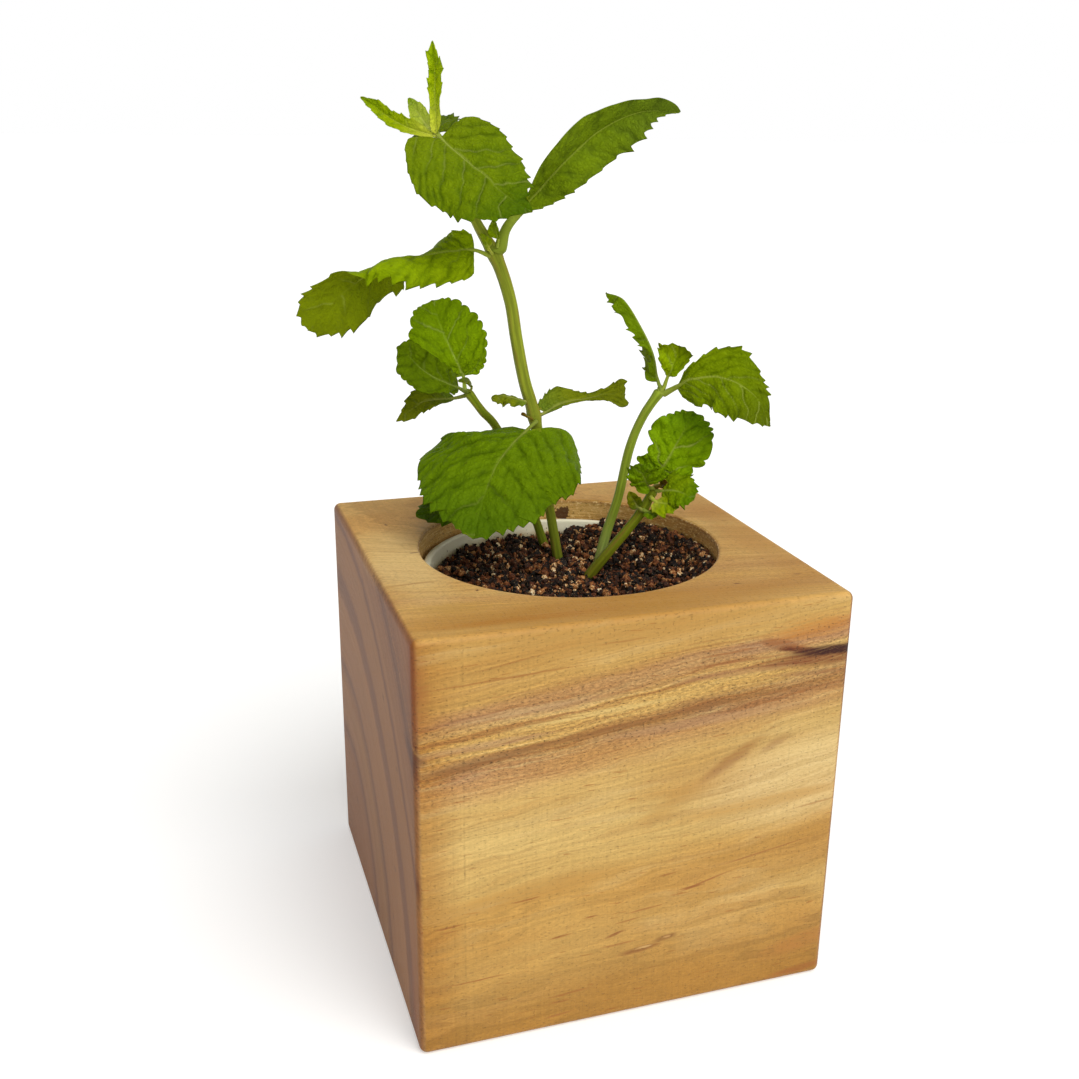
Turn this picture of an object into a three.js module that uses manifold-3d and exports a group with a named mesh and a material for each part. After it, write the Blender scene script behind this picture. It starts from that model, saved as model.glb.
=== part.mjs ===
// A young mint plant in a square wooden block with a round well.
// Millimetres, +Z up. The origin is the middle of the block's underside; the front face looks to -Y.
import * as THREE from 'three';
import { RoundedBoxGeometry } from 'three/addons/geometries/RoundedBoxGeometry.js';
import { mergeVertices } from 'three/addons/utils/BufferGeometryUtils.js';
import Module from 'manifold-3d';

const wasm = await Module();
wasm.setup();

// Driving dimensions.
const CLEARANCE = 0.3;

const BLOCK_SIDE = 100;
const BLOCK_EDGE_RADIUS = 1.8;
const WELL_RADIUS = 36.5;
const WELL_FLOOR = 20;
const WELL_MOUTH_CHAMFER = 0.5;
const WELL_SEGMENTS = 56;

const CUP_RIM_HEIGHT = 95;
const CUP_RIM_RADIUS = 35.6;
const CUP_BASE_RADIUS = 28;
const CUP_WALL = 1.2;
const CUP_LIP_HEIGHT = 2.5;
const CUP_LIP_STEP = 0.6;
const CUP_RIM_BEVEL = 0.4;
const CUP_SEGMENTS = 48;

const SOIL_LEVEL = 91.3;
const SOIL_HEAP = { x: 22, y: 20, height: 2.6, spread: 15 };
const SOIL_BUMP = 0.45;
const SOIL_EDGE_GAP = 0.1;
const SOIL_SEGMENTS = 40;
const SOIL_RINGS = 6;

const STEM_BURIED = 9;
const STEM_FLAT = 0.94;
const STEM_CORNER = 1.06;
const STEM_SIDES = 8;
const STEM_STEP = 5;
const STEM_SAMPLES = 160;

const BLADE_THICKNESS = 0.5;
const TIP_HALF_WIDTH = 0.25;
const THINNING_SHARE = 0.17;
const STALK_SHARE = 0.6;
const LOBE_START = 0.03;
const START_STEP = 0.004;
const OWN_SIDE_SHARE = 0.3;
const PETIOLE_RADIUS = 0.65;
const BUD_PETIOLE_RADIUS = 0.4;

// Colours, roughness and metalness.
const finish = (color, roughness) => new THREE.MeshStandardMaterial({ color, roughness, metalness: 0 });
const WOOD = finish(0xd2a368, 0.6);
const CUP = finish(0xe9e6da, 0.5);
const SOIL = finish(0x5b3f2f, 0.95);
const STEM = finish(0x7d9440, 0.55);
const LEAF = finish(0x6b9a14, 0.55);
const YOUNG_LEAF = finish(0x93aa2a, 0.55);
const OLD_LEAF = finish(0x80842a, 0.65);

const vector = ([x, y, z]) => new THREE.Vector3(x, y, z);
const radians = THREE.MathUtils.degToRad;

// ---------------------------------------------------------------------------------------------
// Meshes and solids

// The volume of a closed mesh, below zero when its faces point inwards.
function signedVolume(positions, index) {
  const corner = (i) => new THREE.Vector3().fromArray(positions, 3 * index[i]);
  let volume = 0;
  for (let i = 0; i < index.length; i += 3) {
    volume += corner(i).dot(corner(i + 1).cross(corner(i + 2))) / 6;
  }
  return volume;
}

// A closed skin over a row of rings with equally many points, with a fan of faces over each end.
// The second half of each ring has its diagonals mirrored, so that both sides of a thin blade match.
function loft(rings, startCentre, endCentre) {
  const count = rings[0].length;
  const points = [...rings.flat(), startCentre, endCentre];
  const positions = points.flatMap((p) => [p.x, p.y, p.z]);
  const start = rings.length * count;
  const index = [];
  for (let j = 0; j < count; j += 1) {
    const next = (j + 1) % count;
    index.push(start, next, j);
    for (let i = 0; i + 1 < rings.length; i += 1) {
      const [a, b] = [i * count + j, i * count + next];
      if (j < count / 2) {
        index.push(a, b, b + count, a, b + count, a + count);
      } else {
        index.push(a, b, a + count, b, b + count, a + count);
      }
    }
    const last = (rings.length - 1) * count;
    index.push(start + 1, last + j, last + next);
  }
  if (signedVolume(positions, index) < 0) {
    index.reverse();
  }
  const geometry = new THREE.BufferGeometry();
  geometry.setAttribute('position', new THREE.Float32BufferAttribute(positions, 3));
  geometry.setIndex(index);
  return geometry;
}

// The middle of a ring of points.
function middleOf(ring) {
  return ring.reduce((sum, point) => sum.add(point), new THREE.Vector3()).divideScalar(ring.length);
}

// A horizontal ring round the vertical axis; height may be a number or a function of the angle.
function circle(radius, height, segments) {
  return Array.from({ length: segments }, (_, i) => {
    const angle = (2 * Math.PI * i) / segments;
    const z = typeof height === 'function' ? height(angle) : height;
    return new THREE.Vector3(radius * Math.cos(angle), radius * Math.sin(angle), z);
  });
}

// A solid of revolution from [radius, height] pairs; its two ends close on the axis.
function revolve(profile, segments) {
  const rings = profile.map(([radius, height]) => circle(radius, height, segments));
  const onAxis = ([, height]) => new THREE.Vector3(0, 0, height);
  return loft(rings, onAxis(profile[0]), onAxis(profile[profile.length - 1]));
}

// A three.js mesh as a solid that can be cut.
function toSolid(geometry) {
  const bare = geometry.clone();
  bare.deleteAttribute('normal');
  bare.deleteAttribute('uv');
  const merged = mergeVertices(bare, 1e-4);
  return new wasm.Manifold(
    new wasm.Mesh({
      numProp: 3,
      vertProperties: new Float32Array(merged.attributes.position.array),
      triVerts: new Uint32Array(merged.index.array),
    }),
  );
}

// A cut solid as a three.js mesh again.
function toGeometry(solid) {
  const mesh = solid.getMesh();
  const geometry = new THREE.BufferGeometry();
  geometry.setAttribute('position', new THREE.Float32BufferAttribute(mesh.vertProperties, 3));
  geometry.setIndex(Array.from(mesh.triVerts));
  return geometry;
}

// ---------------------------------------------------------------------------------------------
// Holder: the wooden block, the cup in its well, and the soil

function woodBlock() {
  const block = new RoundedBoxGeometry(BLOCK_SIDE, BLOCK_SIDE, BLOCK_SIDE, 2, BLOCK_EDGE_RADIUS);
  block.translate(0, 0, BLOCK_SIDE / 2);
  const above = 1;
  const well = revolve(
    [
      [WELL_RADIUS, WELL_FLOOR],
      [WELL_RADIUS, BLOCK_SIDE - WELL_MOUTH_CHAMFER],
      [WELL_RADIUS + WELL_MOUTH_CHAMFER + above, BLOCK_SIDE + above],
    ],
    WELL_SEGMENTS,
  );
  return toGeometry(toSolid(block).subtract(toSolid(well)));
}

const CUP_FOOT = WELL_FLOOR + CLEARANCE;

// Outer radius of the cup's plain wall at a height; the wall leans outwards evenly to below the lip.
function cupRadius(height) {
  const share = (height - CUP_FOOT) / (CUP_RIM_HEIGHT - CUP_FOOT);
  return THREE.MathUtils.lerp(CUP_BASE_RADIUS, CUP_RIM_RADIUS - CUP_LIP_STEP, share);
}

function linerCup() {
  const lipFoot = CUP_RIM_HEIGHT - CUP_LIP_HEIGHT;
  const floorTop = CUP_FOOT + CUP_WALL;
  const rimTop = CUP_RIM_HEIGHT;
  return revolve(
    [
      [CUP_BASE_RADIUS - CUP_WALL, CUP_FOOT],
      [CUP_BASE_RADIUS, floorTop],
      [cupRadius(lipFoot), lipFoot],
      [CUP_RIM_RADIUS, lipFoot + CUP_LIP_STEP],
      [CUP_RIM_RADIUS, rimTop - CUP_RIM_BEVEL],
      [CUP_RIM_RADIUS - CUP_RIM_BEVEL, rimTop],
      [cupRadius(rimTop) - CUP_WALL + CUP_RIM_BEVEL, rimTop - CUP_RIM_BEVEL],
      [cupRadius(lipFoot) - CUP_WALL, lipFoot],
      [CUP_BASE_RADIUS - CUP_WALL, floorTop],
    ],
    CUP_SEGMENTS,
  );
}

// Height of the soil: nearly level, heaped up behind on the right, with low bumps.
function soilHeight(x, y) {
  const away = Math.hypot(x - SOIL_HEAP.x, y - SOIL_HEAP.y) / SOIL_HEAP.spread;
  const heap = SOIL_HEAP.height * Math.exp(-away * away);
  const broad = Math.sin(0.31 * x + 1) * Math.cos(0.27 * y);
  const small = 0.5 * Math.sin(0.63 * y + 0.4 * x);
  return SOIL_LEVEL + heap + SOIL_BUMP * (broad + small);
}

function pottingMix(stems) {
  const foot = CUP_FOOT + CUP_WALL + CLEARANCE;
  const inside = (height) => cupRadius(height) - CUP_WALL - CLEARANCE;
  const footRadius = inside(foot);
  const edge = inside(SOIL_LEVEL) - SOIL_EDGE_GAP;
  const rings = [
    circle(footRadius - CUP_WALL, foot, SOIL_SEGMENTS),
    circle(footRadius, foot + CUP_WALL, SOIL_SEGMENTS),
  ];
  for (let i = 0; i < SOIL_RINGS; i += 1) {
    const radius = edge * (1 - i / SOIL_RINGS);
    const height = (angle) => soilHeight(radius * Math.cos(angle), radius * Math.sin(angle));
    rings.push(circle(radius, height, SOIL_SEGMENTS));
  }
  const top = new THREE.Vector3(0, 0, soilHeight(0, 0));
  let soil = toSolid(loft(rings, new THREE.Vector3(0, 0, foot), top));
  for (const stem of stems) {
    soil = soil.subtract(toSolid(stem.solid(CLEARANCE)));
  }
  return toGeometry(soil);
}

// ---------------------------------------------------------------------------------------------
// Stems: rounded square rods along a curve

class Stem {
  // path: points on the centre line from the soil to the tip. radii: at even steps along it.
  constructor(path, radii) {
    const points = path.map(vector);
    const down = points[0].clone().sub(points[1]).normalize();
    points.unshift(points[0].clone().addScaledVector(down, STEM_BURIED));
    this.curve = new THREE.CatmullRomCurve3(points, false, 'catmullrom', 0.5);
    this.radii = [radii[0], ...radii];
  }

  radiusAt(t) {
    const place = t * (this.radii.length - 1);
    const i = Math.min(Math.floor(place), this.radii.length - 2);
    return THREE.MathUtils.lerp(this.radii[i], this.radii[i + 1], place - i);
  }

  // The stem's solid, grown all over by extra.
  solid(extra = 0) {
    const steps = Math.ceil(this.curve.getLength() / STEM_STEP);
    const rings = [];
    for (let i = 0; i <= steps; i += 1) {
      const t = i / steps;
      const along = this.curve.getTangent(t);
      const centre = this.curve.getPoint(t).addScaledVector(along, extra * Math.sign(i - steps / 2));
      const across = new THREE.Vector3(0, -1, 0).cross(along).normalize();
      const front = along.clone().cross(across);
      const radius = this.radiusAt(t) + extra;
      const ring = Array.from({ length: STEM_SIDES }, (_, j) => {
        const angle = (2 * Math.PI * j) / STEM_SIDES;
        const reach = radius * (j % 2 === 0 ? STEM_FLAT : STEM_CORNER);
        return centre
          .clone()
          .addScaledVector(across, reach * Math.cos(angle))
          .addScaledVector(front, reach * Math.sin(angle));
      });
      rings.push(ring);
    }
    return loft(rings, middleOf(rings[0]), middleOf(rings[steps]));
  }

  // How far a point lies from the stem's surface, taking the stem's corners as its radius.
  distance(point) {
    let least = Infinity;
    for (let i = 0; i <= STEM_SAMPLES; i += 1) {
      const t = i / STEM_SAMPLES;
      const gap = point.distanceTo(this.curve.getPoint(t)) - this.radiusAt(t) * STEM_CORNER;
      least = Math.min(least, gap);
    }
    return least;
  }
}

const stems = {
  tall: new Stem(
    [
      [2, 13.5, 91], [0.5, 14.5, 101], [-2, 15.5, 116.5], [-4, 16, 128.5], [-6.5, 16.5, 137.5],
      [-8.5, 16.5, 147.5], [-10, 17, 157], [-13, 18, 166.5], [-18, 18.5, 175.5], [-23, 19, 186.5],
      [-26.5, 19.5, 194.5],
    ],
    [1.35, 1.3, 1.4, 1.7, 1.7, 1.65, 1.65, 1.75, 1.3, 1.15, 1.0],
  ),
  back: new Stem(
    [
      [2, 22, 89], [-0.5, 23.5, 97.5], [-4.5, 24.5, 109.5], [-10.5, 26.5, 123], [-14.5, 27, 128],
      [-18, 28, 133],
    ],
    [1.2, 1.15, 1.15, 1.15, 1.1, 1.05],
  ),
  right: new Stem(
    [[10, 5, 92], [12, 5.5, 99.5], [15, 5.5, 109], [17.5, 5.5, 121], [20.5, 5, 129], [24.5, 3.5, 136]],
    [1.5, 1.4, 1.3, 1.25, 1.15, 1.2],
  ),
  short: new Stem(
    [[5, -1, 91], [9, -1.5, 96], [14, -1.5, 101.5], [18.5, -1, 106.5], [22, -1, 112.5]],
    [1.3, 1.25, 1.2, 1.15, 1.0],
  ),
};

// ---------------------------------------------------------------------------------------------
// Leaves: a stalk and a blade that bends across its midrib

// A value at share x of a list of evenly spaced values, eased between neighbours.
function eased(list, x) {
  const place = THREE.MathUtils.clamp(x, 0, 1) * (list.length - 1);
  const i = Math.min(Math.floor(place), Math.max(list.length - 2, 0));
  const next = Math.min(i + 1, list.length - 1);
  return THREE.MathUtils.lerp(list[i], list[next], THREE.MathUtils.smoothstep(place - i, 0, 1));
}

// Half width of a blade at share s of its length. The five values stand at even steps of an angle
// whose cosine runs along the blade, so they crowd at both ends, where the width goes to nothing.
function halfWidth(five, s) {
  const points = [0, ...five, 0].map((width) => new THREE.Vector3(width, 0, 0));
  const curve = new THREE.CatmullRomCurve3(points, false, 'catmullrom', 0.5);
  return Math.max(curve.getPoint(Math.acos(1 - 2 * s) / Math.PI).x, 0);
}

// Place and slope on one half's bent section: it leaves the midrib at angle fold and turns by curl.
function bent(fold, curl, share) {
  const turn = Math.abs(curl) < 1e-3 ? 1e-3 : curl;
  const slope = fold + turn * share;
  return {
    out: (Math.sin(slope) - Math.sin(fold)) / turn,
    up: (Math.cos(fold) - Math.cos(slope)) / turn,
    slope,
  };
}

class Leaf {
  // path: from the stem to the tip, its second point the foot of the blade.
  // face: which way the upper side looks, at even steps along the blade.
  // left, right: five half widths. fold, curl: degrees, each as [left list, right list].
  // lobe: how far the two halves reach back past the foot of the blade.
  constructor(shape) {
    Object.assign(this, { stalk: PETIOLE_RADIUS, steps: 10, lobe: [0, 0], material: LEAF }, shape);
    this.curve = new THREE.CatmullRomCurve3(this.path.map(vector), false, 'catmullrom', 0.5);
    this.bladeStart = 1 / (this.path.length - 1);
  }

  // One closed ring of eight points round the leaf at t of its path.
  ring(t) {
    const s = THREE.MathUtils.clamp((t - this.bladeStart) / (1 - this.bladeStart), 0, 1);
    const stalkEnd = STALK_SHARE * this.bladeStart;
    const onBlade = THREE.MathUtils.clamp((t - stalkEnd) / (this.bladeStart - stalkEnd), 0, 1);
    const centre = this.curve.getPoint(t);
    const along = this.curve.getTangent(t);
    const looks = [0, 1, 2].map((axis) => eased(this.face.map((f) => f[axis]), s));
    const up = vector(looks);
    up.addScaledVector(along, -up.dot(along)).normalize();
    const across = along.clone().cross(up);
    const stalk = THREE.MathUtils.lerp(this.stalk, TIP_HALF_WIDTH, s);
    const thinned = Math.max(0.4 * onBlade, Math.min(1, s / THINNING_SHARE));
    const thick = THREE.MathUtils.lerp(2 * this.stalk, BLADE_THICKNESS, thinned);
    const point = (side, share, offset) => {
      const half = side < 0 ? 0 : 1;
      const width = Math.max(halfWidth(half ? this.right : this.left, s), stalk);
      const fold = radians(eased(this.fold[half], s)) * onBlade;
      const curl = radians(eased(this.curl[half], s)) * onBlade;
      const { out, up: rise, slope } = bent(fold, curl, share);
      const lobe = this.lobe[half] * (1 - s) ** 4 * Math.min(1, s / LOBE_START);
      const back = lobe * Math.sin((share * Math.PI) / 2);
      const sideways = Math.max(width * out - offset * Math.sin(slope), OWN_SIDE_SHARE * width * out);
      return centre
        .clone()
        .addScaledVector(across, share === 0 ? 0 : side * sideways)
        .addScaledVector(up, width * rise + offset * (share === 0 ? 1 : Math.cos(slope)))
        .addScaledVector(along, -back);
    };
    const h = (s === 1 ? 0.6 : 1) * 0.5 * thick;
    return [
      point(-1, 1, 0), point(-1, 0.5, h), point(-1, 0, h), point(1, 0.5, h),
      point(1, 1, 0), point(1, 0.5, -h), point(1, 0, -h), point(-1, 0.5, -h),
    ];
  }

  // The first place on the path where the stalk's whole ring clears the stem.
  start() {
    const stem = stems[this.stem];
    let t = 0;
    while (t < this.bladeStart && Math.min(...this.ring(t).map((p) => stem.distance(p))) < CLEARANCE) {
      t += START_STEP;
    }
    return t;
  }

  geometry() {
    const start = this.start();
    const places = [start, THREE.MathUtils.lerp(start, this.bladeStart, 0.5)];
    for (let i = 0; i <= this.steps; i += 1) {
      const s = (1 - Math.cos((Math.PI * i) / this.steps)) / 2;
      places.push(THREE.MathUtils.lerp(this.bladeStart, 1, s));
    }
    return loft(places.map((t) => this.ring(t)), this.curve.getPoint(start), this.curve.getPoint(1));
  }
}

const FLAT = [[0], [0]];

const leaves = {
  // At the tip of the tall stem.
  leaf_tall_top_front: new Leaf({
    stem: 'tall',
    path: [
      [-26.5, 18.5, 194.5], [-26.5, 17.5, 194], [-23, 12, 190], [-19, 5.5, 186], [-15.5, 1, 182],
      [-11.5, -5, 179],
    ],
    face: [[0, -1, 0.3], [0, -0.9, 0.4], [0, -0.9, 0.5]],
    left: [10, 11.5, 9, 6, 2],
    right: [9.5, 13.5, 12.5, 10, 4.5],
    fold: [[7, 9, 6], [22, 2, 9]],
    curl: [[-7, -18, -7], [-15, -24, -7]],
    lobe: [0, 2],
    material: YOUNG_LEAF,
  }),
  leaf_tall_top_back: new Leaf({
    stem: 'tall',
    path: [[-26.5, 20.5, 195], [-26, 22, 195], [-25, 27, 196.5], [-24, 33, 197.5], [-24, 37, 198.5]],
    face: [[-0.1, 0, 1], [-0.2, -0.1, 1]],
    left: [6, 8.5, 8, 5, 2.5],
    right: [3, 5, 5.5, 4.5, 2],
    fold: [[-10], [10]],
    curl: [[-35], [-10]],
    material: YOUNG_LEAF,
  }),
  leaf_tall_tip_upright: new Leaf({
    stem: 'tall',
    path: [
      [-27, 19.5, 195], [-27, 19, 197.5], [-27, 19.5, 201], [-27, 19.5, 206.5], [-27, 19.5, 210],
      [-27.5, 19.5, 214.5],
    ],
    face: [[-0.6, -0.8, 0]],
    left: [1, 1, 2, 2, 0.5],
    right: [3, 3.5, 3, 2.5, 1],
    fold: [[60], [50]],
    curl: FLAT,
    stalk: BUD_PETIOLE_RADIUS,
    material: YOUNG_LEAF,
  }),
  leaf_tall_tip_left: new Leaf({
    stem: 'tall',
    path: [
      [-27.5, 19, 194.5], [-29, 19.5, 194.5], [-33, 20, 196], [-37, 21, 198], [-40.5, 21.5, 200.5],
      [-43.5, 22.5, 202.5],
    ],
    face: [[-0.1, -0.9, 0.4]],
    left: [2, 3, 3.5, 2.5, 1],
    right: [1, 2, 2, 1.5, 1],
    fold: [[40], [40]],
    curl: FLAT,
    stalk: BUD_PETIOLE_RADIUS,
    material: YOUNG_LEAF,
  }),
  bud_tall_tip: new Leaf({
    stem: 'tall',
    path: [[-27.5, 20, 195], [-28.5, 21, 196.5], [-30, 23.5, 199], [-32, 25, 202.5]],
    face: [[-0.6, -0.8, 0.1], [-0.8, -0.6, -0.1]],
    left: [1, 1.5, 1.5, 1, 0.5],
    right: [1, 2, 2.5, 1.5, 0.5],
    fold: [[25], [25]],
    curl: [[20], [20]],
    stalk: BUD_PETIOLE_RADIUS,
    steps: 6,
    material: YOUNG_LEAF,
  }),

  // At the upper node of the tall stem.
  leaf_tall_right: new Leaf({
    stem: 'tall',
    path: [
      [-12.5, 17, 169], [-10.5, 17, 174.5], [-4, 15.5, 182], [1.5, 11.5, 189], [9.5, 10, 196],
      [18, 7, 200], [26, 3, 200],
    ],
    face: [[-0.4, -0.9, 0.3], [-0.2, -0.9, 0.3], [-0.2, -0.9, 0.4]],
    left: [0.5, 4.5, 6.5, 4, 2.5],
    right: [0.5, 5.5, 7.5, 6.5, 1],
    fold: [[74, 59, 54], [7, -1, 10]],
    curl: [[13, -9, 0], [-9, -7, -6]],
  }),
  leaf_tall_left: new Leaf({
    stem: 'tall',
    path: [
      [-15, 17, 167.5], [-19, 16.5, 169], [-24, 15.5, 169], [-31, 17, 168], [-38, 16.5, 167.5],
      [-44.5, 19, 163.5], [-51, 19.5, 158.5], [-58, 21.5, 151],
    ],
    face: [
      [-0.3, -0.7, 0.6], [-0.2, -0.6, 0.8], [0, -0.1, 1], [0.1, 0.4, 0.9], [0.3, 0.8, 0.5],
      [0.3, 0.9, 0.4],
    ],
    left: [6, 8.5, 8.5, 6, 6],
    right: [5.5, 7, 8.5, 8.5, 6],
    fold: [[0, -5, 0, 10, 10, 10], [20, 10, -20, -20, -10, 0]],
    curl: [[-20, -60, -100, -130, -30, -10], [10, -40, -60, -10, -10, 0]],
    steps: 14,
  }),
  bud_axil_left: new Leaf({
    stem: 'tall',
    path: [[-14.5, 16.5, 168], [-16, 14, 169.5], [-17, 13, 171], [-18.5, 12.5, 173]],
    face: [[0, -0.9, 0.5]],
    left: [0.8, 1.3, 1.5, 1, 0.5],
    right: [0.8, 1.3, 1.5, 1, 0.5],
    fold: [[30], [30]],
    curl: [[-10], [-10]],
    stalk: BUD_PETIOLE_RADIUS,
    steps: 6,
    material: YOUNG_LEAF,
  }),
  bud_axil_right: new Leaf({
    stem: 'tall',
    path: [[-13.5, 16, 169.5], [-13.5, 15, 171.5], [-14, 15, 173.5], [-14.5, 15.5, 176]],
    face: [[-0.8, -0.6, 0.1]],
    left: [1, 2, 2.4, 1.8, 0.8],
    right: [0.8, 1.5, 2, 1.5, 0.7],
    fold: [[40], [40]],
    curl: [[-10], [-10]],
    stalk: BUD_PETIOLE_RADIUS,
    steps: 6,
  }),

  // At the lower node of the tall stem.
  leaf_low_front: new Leaf({
    stem: 'tall',
    path: [
      [-4, 14, 127.5], [-7, 12, 126], [-12.5, 7.5, 123.5], [-18, 3, 119], [-22.5, -3, 113],
      [-26.5, -9.5, 106.5],
    ],
    face: [[-0.3, -0.7, 0.6], [-0.4, -0.7, 0.6], [-0.4, -0.7, 0.6]],
    left: [15, 19.5, 18.5, 14, 5.5],
    right: [12.5, 17.5, 20, 15, 6],
    fold: [[8, -3, 7], [-26, 1, 20, 12]],
    curl: [[-40, -32, -22], [-48, -39, -42, -11]],
    lobe: [11, 2],
    steps: 14,
  }),
  leaf_low_right: new Leaf({
    stem: 'tall',
    path: [
      [-3.5, 15.5, 128.5], [0, 14, 130], [3, 14.5, 131.5], [10.5, 15, 132.5], [15, 15, 133],
      [19.5, 14.5, 133],
    ],
    face: [[-0.2, -0.3, 0.9], [-0.1, -0.4, 0.9], [-0.3, -0.8, 0.5]],
    left: [4, 5, 1.5, 2, 2.5],
    right: [1.5, 2, 2.5, 3.5, 2.5],
    fold: [[60, 30, 20], [10, 0, 0]],
    curl: FLAT,
    lobe: [2, 0],
    material: OLD_LEAF,
  }),
  leaf_low_left: new Leaf({
    stem: 'tall',
    path: [
      [-5, 16, 131.5], [-7.5, 15, 132.5], [-10, 15, 133], [-12.5, 15, 133.5], [-14.5, 14.5, 132.5],
    ],
    face: [[-0.2, -0.5, 0.8]],
    left: [1, 2, 3, 2.5, 1],
    right: [1, 1.5, 1.5, 1.5, 1],
    fold: [[5], [-20]],
    curl: [[0], [-30]],
    stalk: BUD_PETIOLE_RADIUS,
    steps: 8,
    material: OLD_LEAF,
  }),
  bract_low: new Leaf({
    stem: 'tall',
    path: [[-5, 14.5, 128], [-6.5, 13, 129], [-7.5, 12.5, 129.5], [-8.5, 12, 130]],
    face: [[-0.2, -0.5, 0.8]],
    left: [0.4, 0.7, 0.9, 0.7, 0.4],
    right: [0.4, 0.7, 0.9, 0.7, 0.4],
    fold: [[20], [20]],
    curl: [[-10], [-10]],
    stalk: BUD_PETIOLE_RADIUS,
    steps: 6,
    material: OLD_LEAF,
  }),

  // On the back stem.
  leaf_back_round: new Leaf({
    stem: 'back',
    path: [
      [-18.5, 28.5, 133.5], [-19, 28, 137], [-20.5, 27, 140], [-23, 27, 145.5], [-24.5, 29, 150.5],
      [-26, 31, 155.5],
    ],
    face: [[-0.4, -0.9, -0.1], [-0.4, -0.9, 0], [-0.3, -0.9, 0.3]],
    left: [5, 7.5, 10.5, 8, 5.5],
    right: [4.5, 8, 9.5, 7.5, 4.5],
    fold: [[22], [8]],
    curl: [[13, 6, -1], [10, -6, -5]],
  }),
  leaf_back_left: new Leaf({
    stem: 'back',
    path: [
      [-18.5, 27, 133], [-21.5, 23.5, 135], [-25.5, 21, 137], [-30.5, 21, 140], [-34.5, 21, 144],
      [-37, 21.5, 146],
    ],
    face: [[0, -0.8, 0.5]],
    left: [2, 3, 5.5, 5, 1.5],
    right: [2, 3.5, 4, 3.5, 2],
    fold: [[8], [25]],
    curl: [[0], [3]],
  }),
  leaf_back_droop: new Leaf({
    stem: 'back',
    path: [
      [-18, 28, 132], [-21.5, 27.5, 131.5], [-25.5, 27, 131.5], [-30, 27, 131], [-33.5, 27, 129],
      [-36.5, 27.5, 126.5],
    ],
    face: [[-0.1, -0.9, 0.5], [0.1, -0.9, 0.4]],
    left: [1, 1.5, 2.5, 2.5, 1],
    right: [1.5, 2.5, 4, 2, 0.5],
    fold: [[10], [0]],
    curl: [[0], [-15]],
    material: OLD_LEAF,
  }),
  bud_back: new Leaf({
    stem: 'back',
    path: [[-17.5, 26.5, 133.5], [-18, 23.5, 135], [-20.5, 19.5, 137], [-23, 17, 138]],
    face: [[0.1, -0.8, 0.6]],
    left: [0.5, 1, 1.3, 1, 0.5],
    right: [0.5, 1, 1.3, 1, 0.5],
    fold: [[40], [40]],
    curl: [[-10], [-10]],
    stalk: BUD_PETIOLE_RADIUS,
    steps: 6,
    material: YOUNG_LEAF,
  }),
  leaf_back_low: new Leaf({
    stem: 'back',
    path: [
      [-3, 22.5, 105], [-8, 21.5, 106], [-17.5, 19.5, 106.5], [-26.5, 17, 106], [-34.5, 15.5, 105],
    ],
    face: [[-0.3, -0.4, 0.9], [-0.3, -0.5, 0.8]],
    left: [3.5, 6, 7, 5.5, 2.5],
    right: [3.5, 6, 7, 5.5, 2.5],
    fold: [[10], [5]],
    curl: [[-10], [-20]],
  }),

  // On the right stem.
  leaf_right_narrow: new Leaf({
    stem: 'right',
    path: [
      [24.5, 3.5, 136.5], [23.5, 4, 139.5], [22.5, 4, 144.5], [19.5, 5, 151], [15.5, 7, 157.5],
      [12, 10, 159],
    ],
    face: [[0.8, -0.5, 0.4], [0.5, -0.5, 0.7], [0.2, -0.4, 0.9]],
    left: [1, 0.5, 2.5, 2.5, 1.5],
    right: [1.5, 3.5, 3, 1.5, 0.5],
    fold: [[-54], [-49]],
    curl: [[10], [-5]],
  }),
  leaf_right_small: new Leaf({
    stem: 'right',
    path: [[25, 3, 136.5], [25.5, 2, 139.5], [26, 0.5, 142], [27.5, 0.5, 147]],
    face: [[-0.5, -0.9, 0.1]],
    left: [1, 1.5, 3, 4.5, 4.5],
    right: [0.5, 1, 2, 4, 4.5],
    fold: [[28], [37]],
    curl: [[3], [13]],
    stalk: BUD_PETIOLE_RADIUS,
    steps: 8,
  }),
  leaf_right_big: new Leaf({
    stem: 'right',
    path: [
      [25, 3, 135], [27.5, 1, 137], [30, -2.5, 139.5], [34.5, -6.5, 140.5], [38, -11.5, 139.5],
      [41.5, -15.5, 136], [43.5, -17.5, 130.5],
    ],
    face: [[-0.3, -0.7, 0.6], [-0.2, -0.8, 0.6], [0.2, -0.8, 0.5]],
    left: [1, 5, 8, 3.5, 1],
    right: [5.5, 7, 8.5, 8.5, 4],
    fold: [[8], [-3]],
    curl: [[4, 4, -2], [-11, -9, 0]],
  }),

  // On the short stem.
  leaf_short_upper: new Leaf({
    stem: 'short',
    path: [
      [22.5, -0.5, 113], [23, -0.5, 116], [24, -1.5, 118.5], [26.5, -1.5, 122.5], [29, -1.5, 127],
      [31.5, -0.5, 131],
    ],
    face: [[-0.5, -0.9, 0.2], [-0.4, -0.9, 0.3]],
    left: [5.5, 6.5, 6.5, 6, 3.5],
    right: [5, 7.5, 8.5, 8, 5.5],
    fold: [[8], [9]],
    curl: [[3], [-6]],
  }),
  leaf_short_left: new Leaf({
    stem: 'short',
    path: [
      [21.5, -1.5, 112.5], [19.5, -3, 113.5], [18, -4.5, 115.5], [16.5, -5.5, 118],
      [15.5, -6, 120.5],
    ],
    face: [[-0.5, -0.6, 0.6]],
    left: [1, 2, 2.5, 2, 1],
    right: [1, 3.5, 3.5, 2.5, 0.5],
    fold: [[10], [10]],
    curl: [[-20], [-20]],
    stalk: BUD_PETIOLE_RADIUS,
    steps: 8,
  }),
  leaf_short_right: new Leaf({
    stem: 'short',
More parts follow.
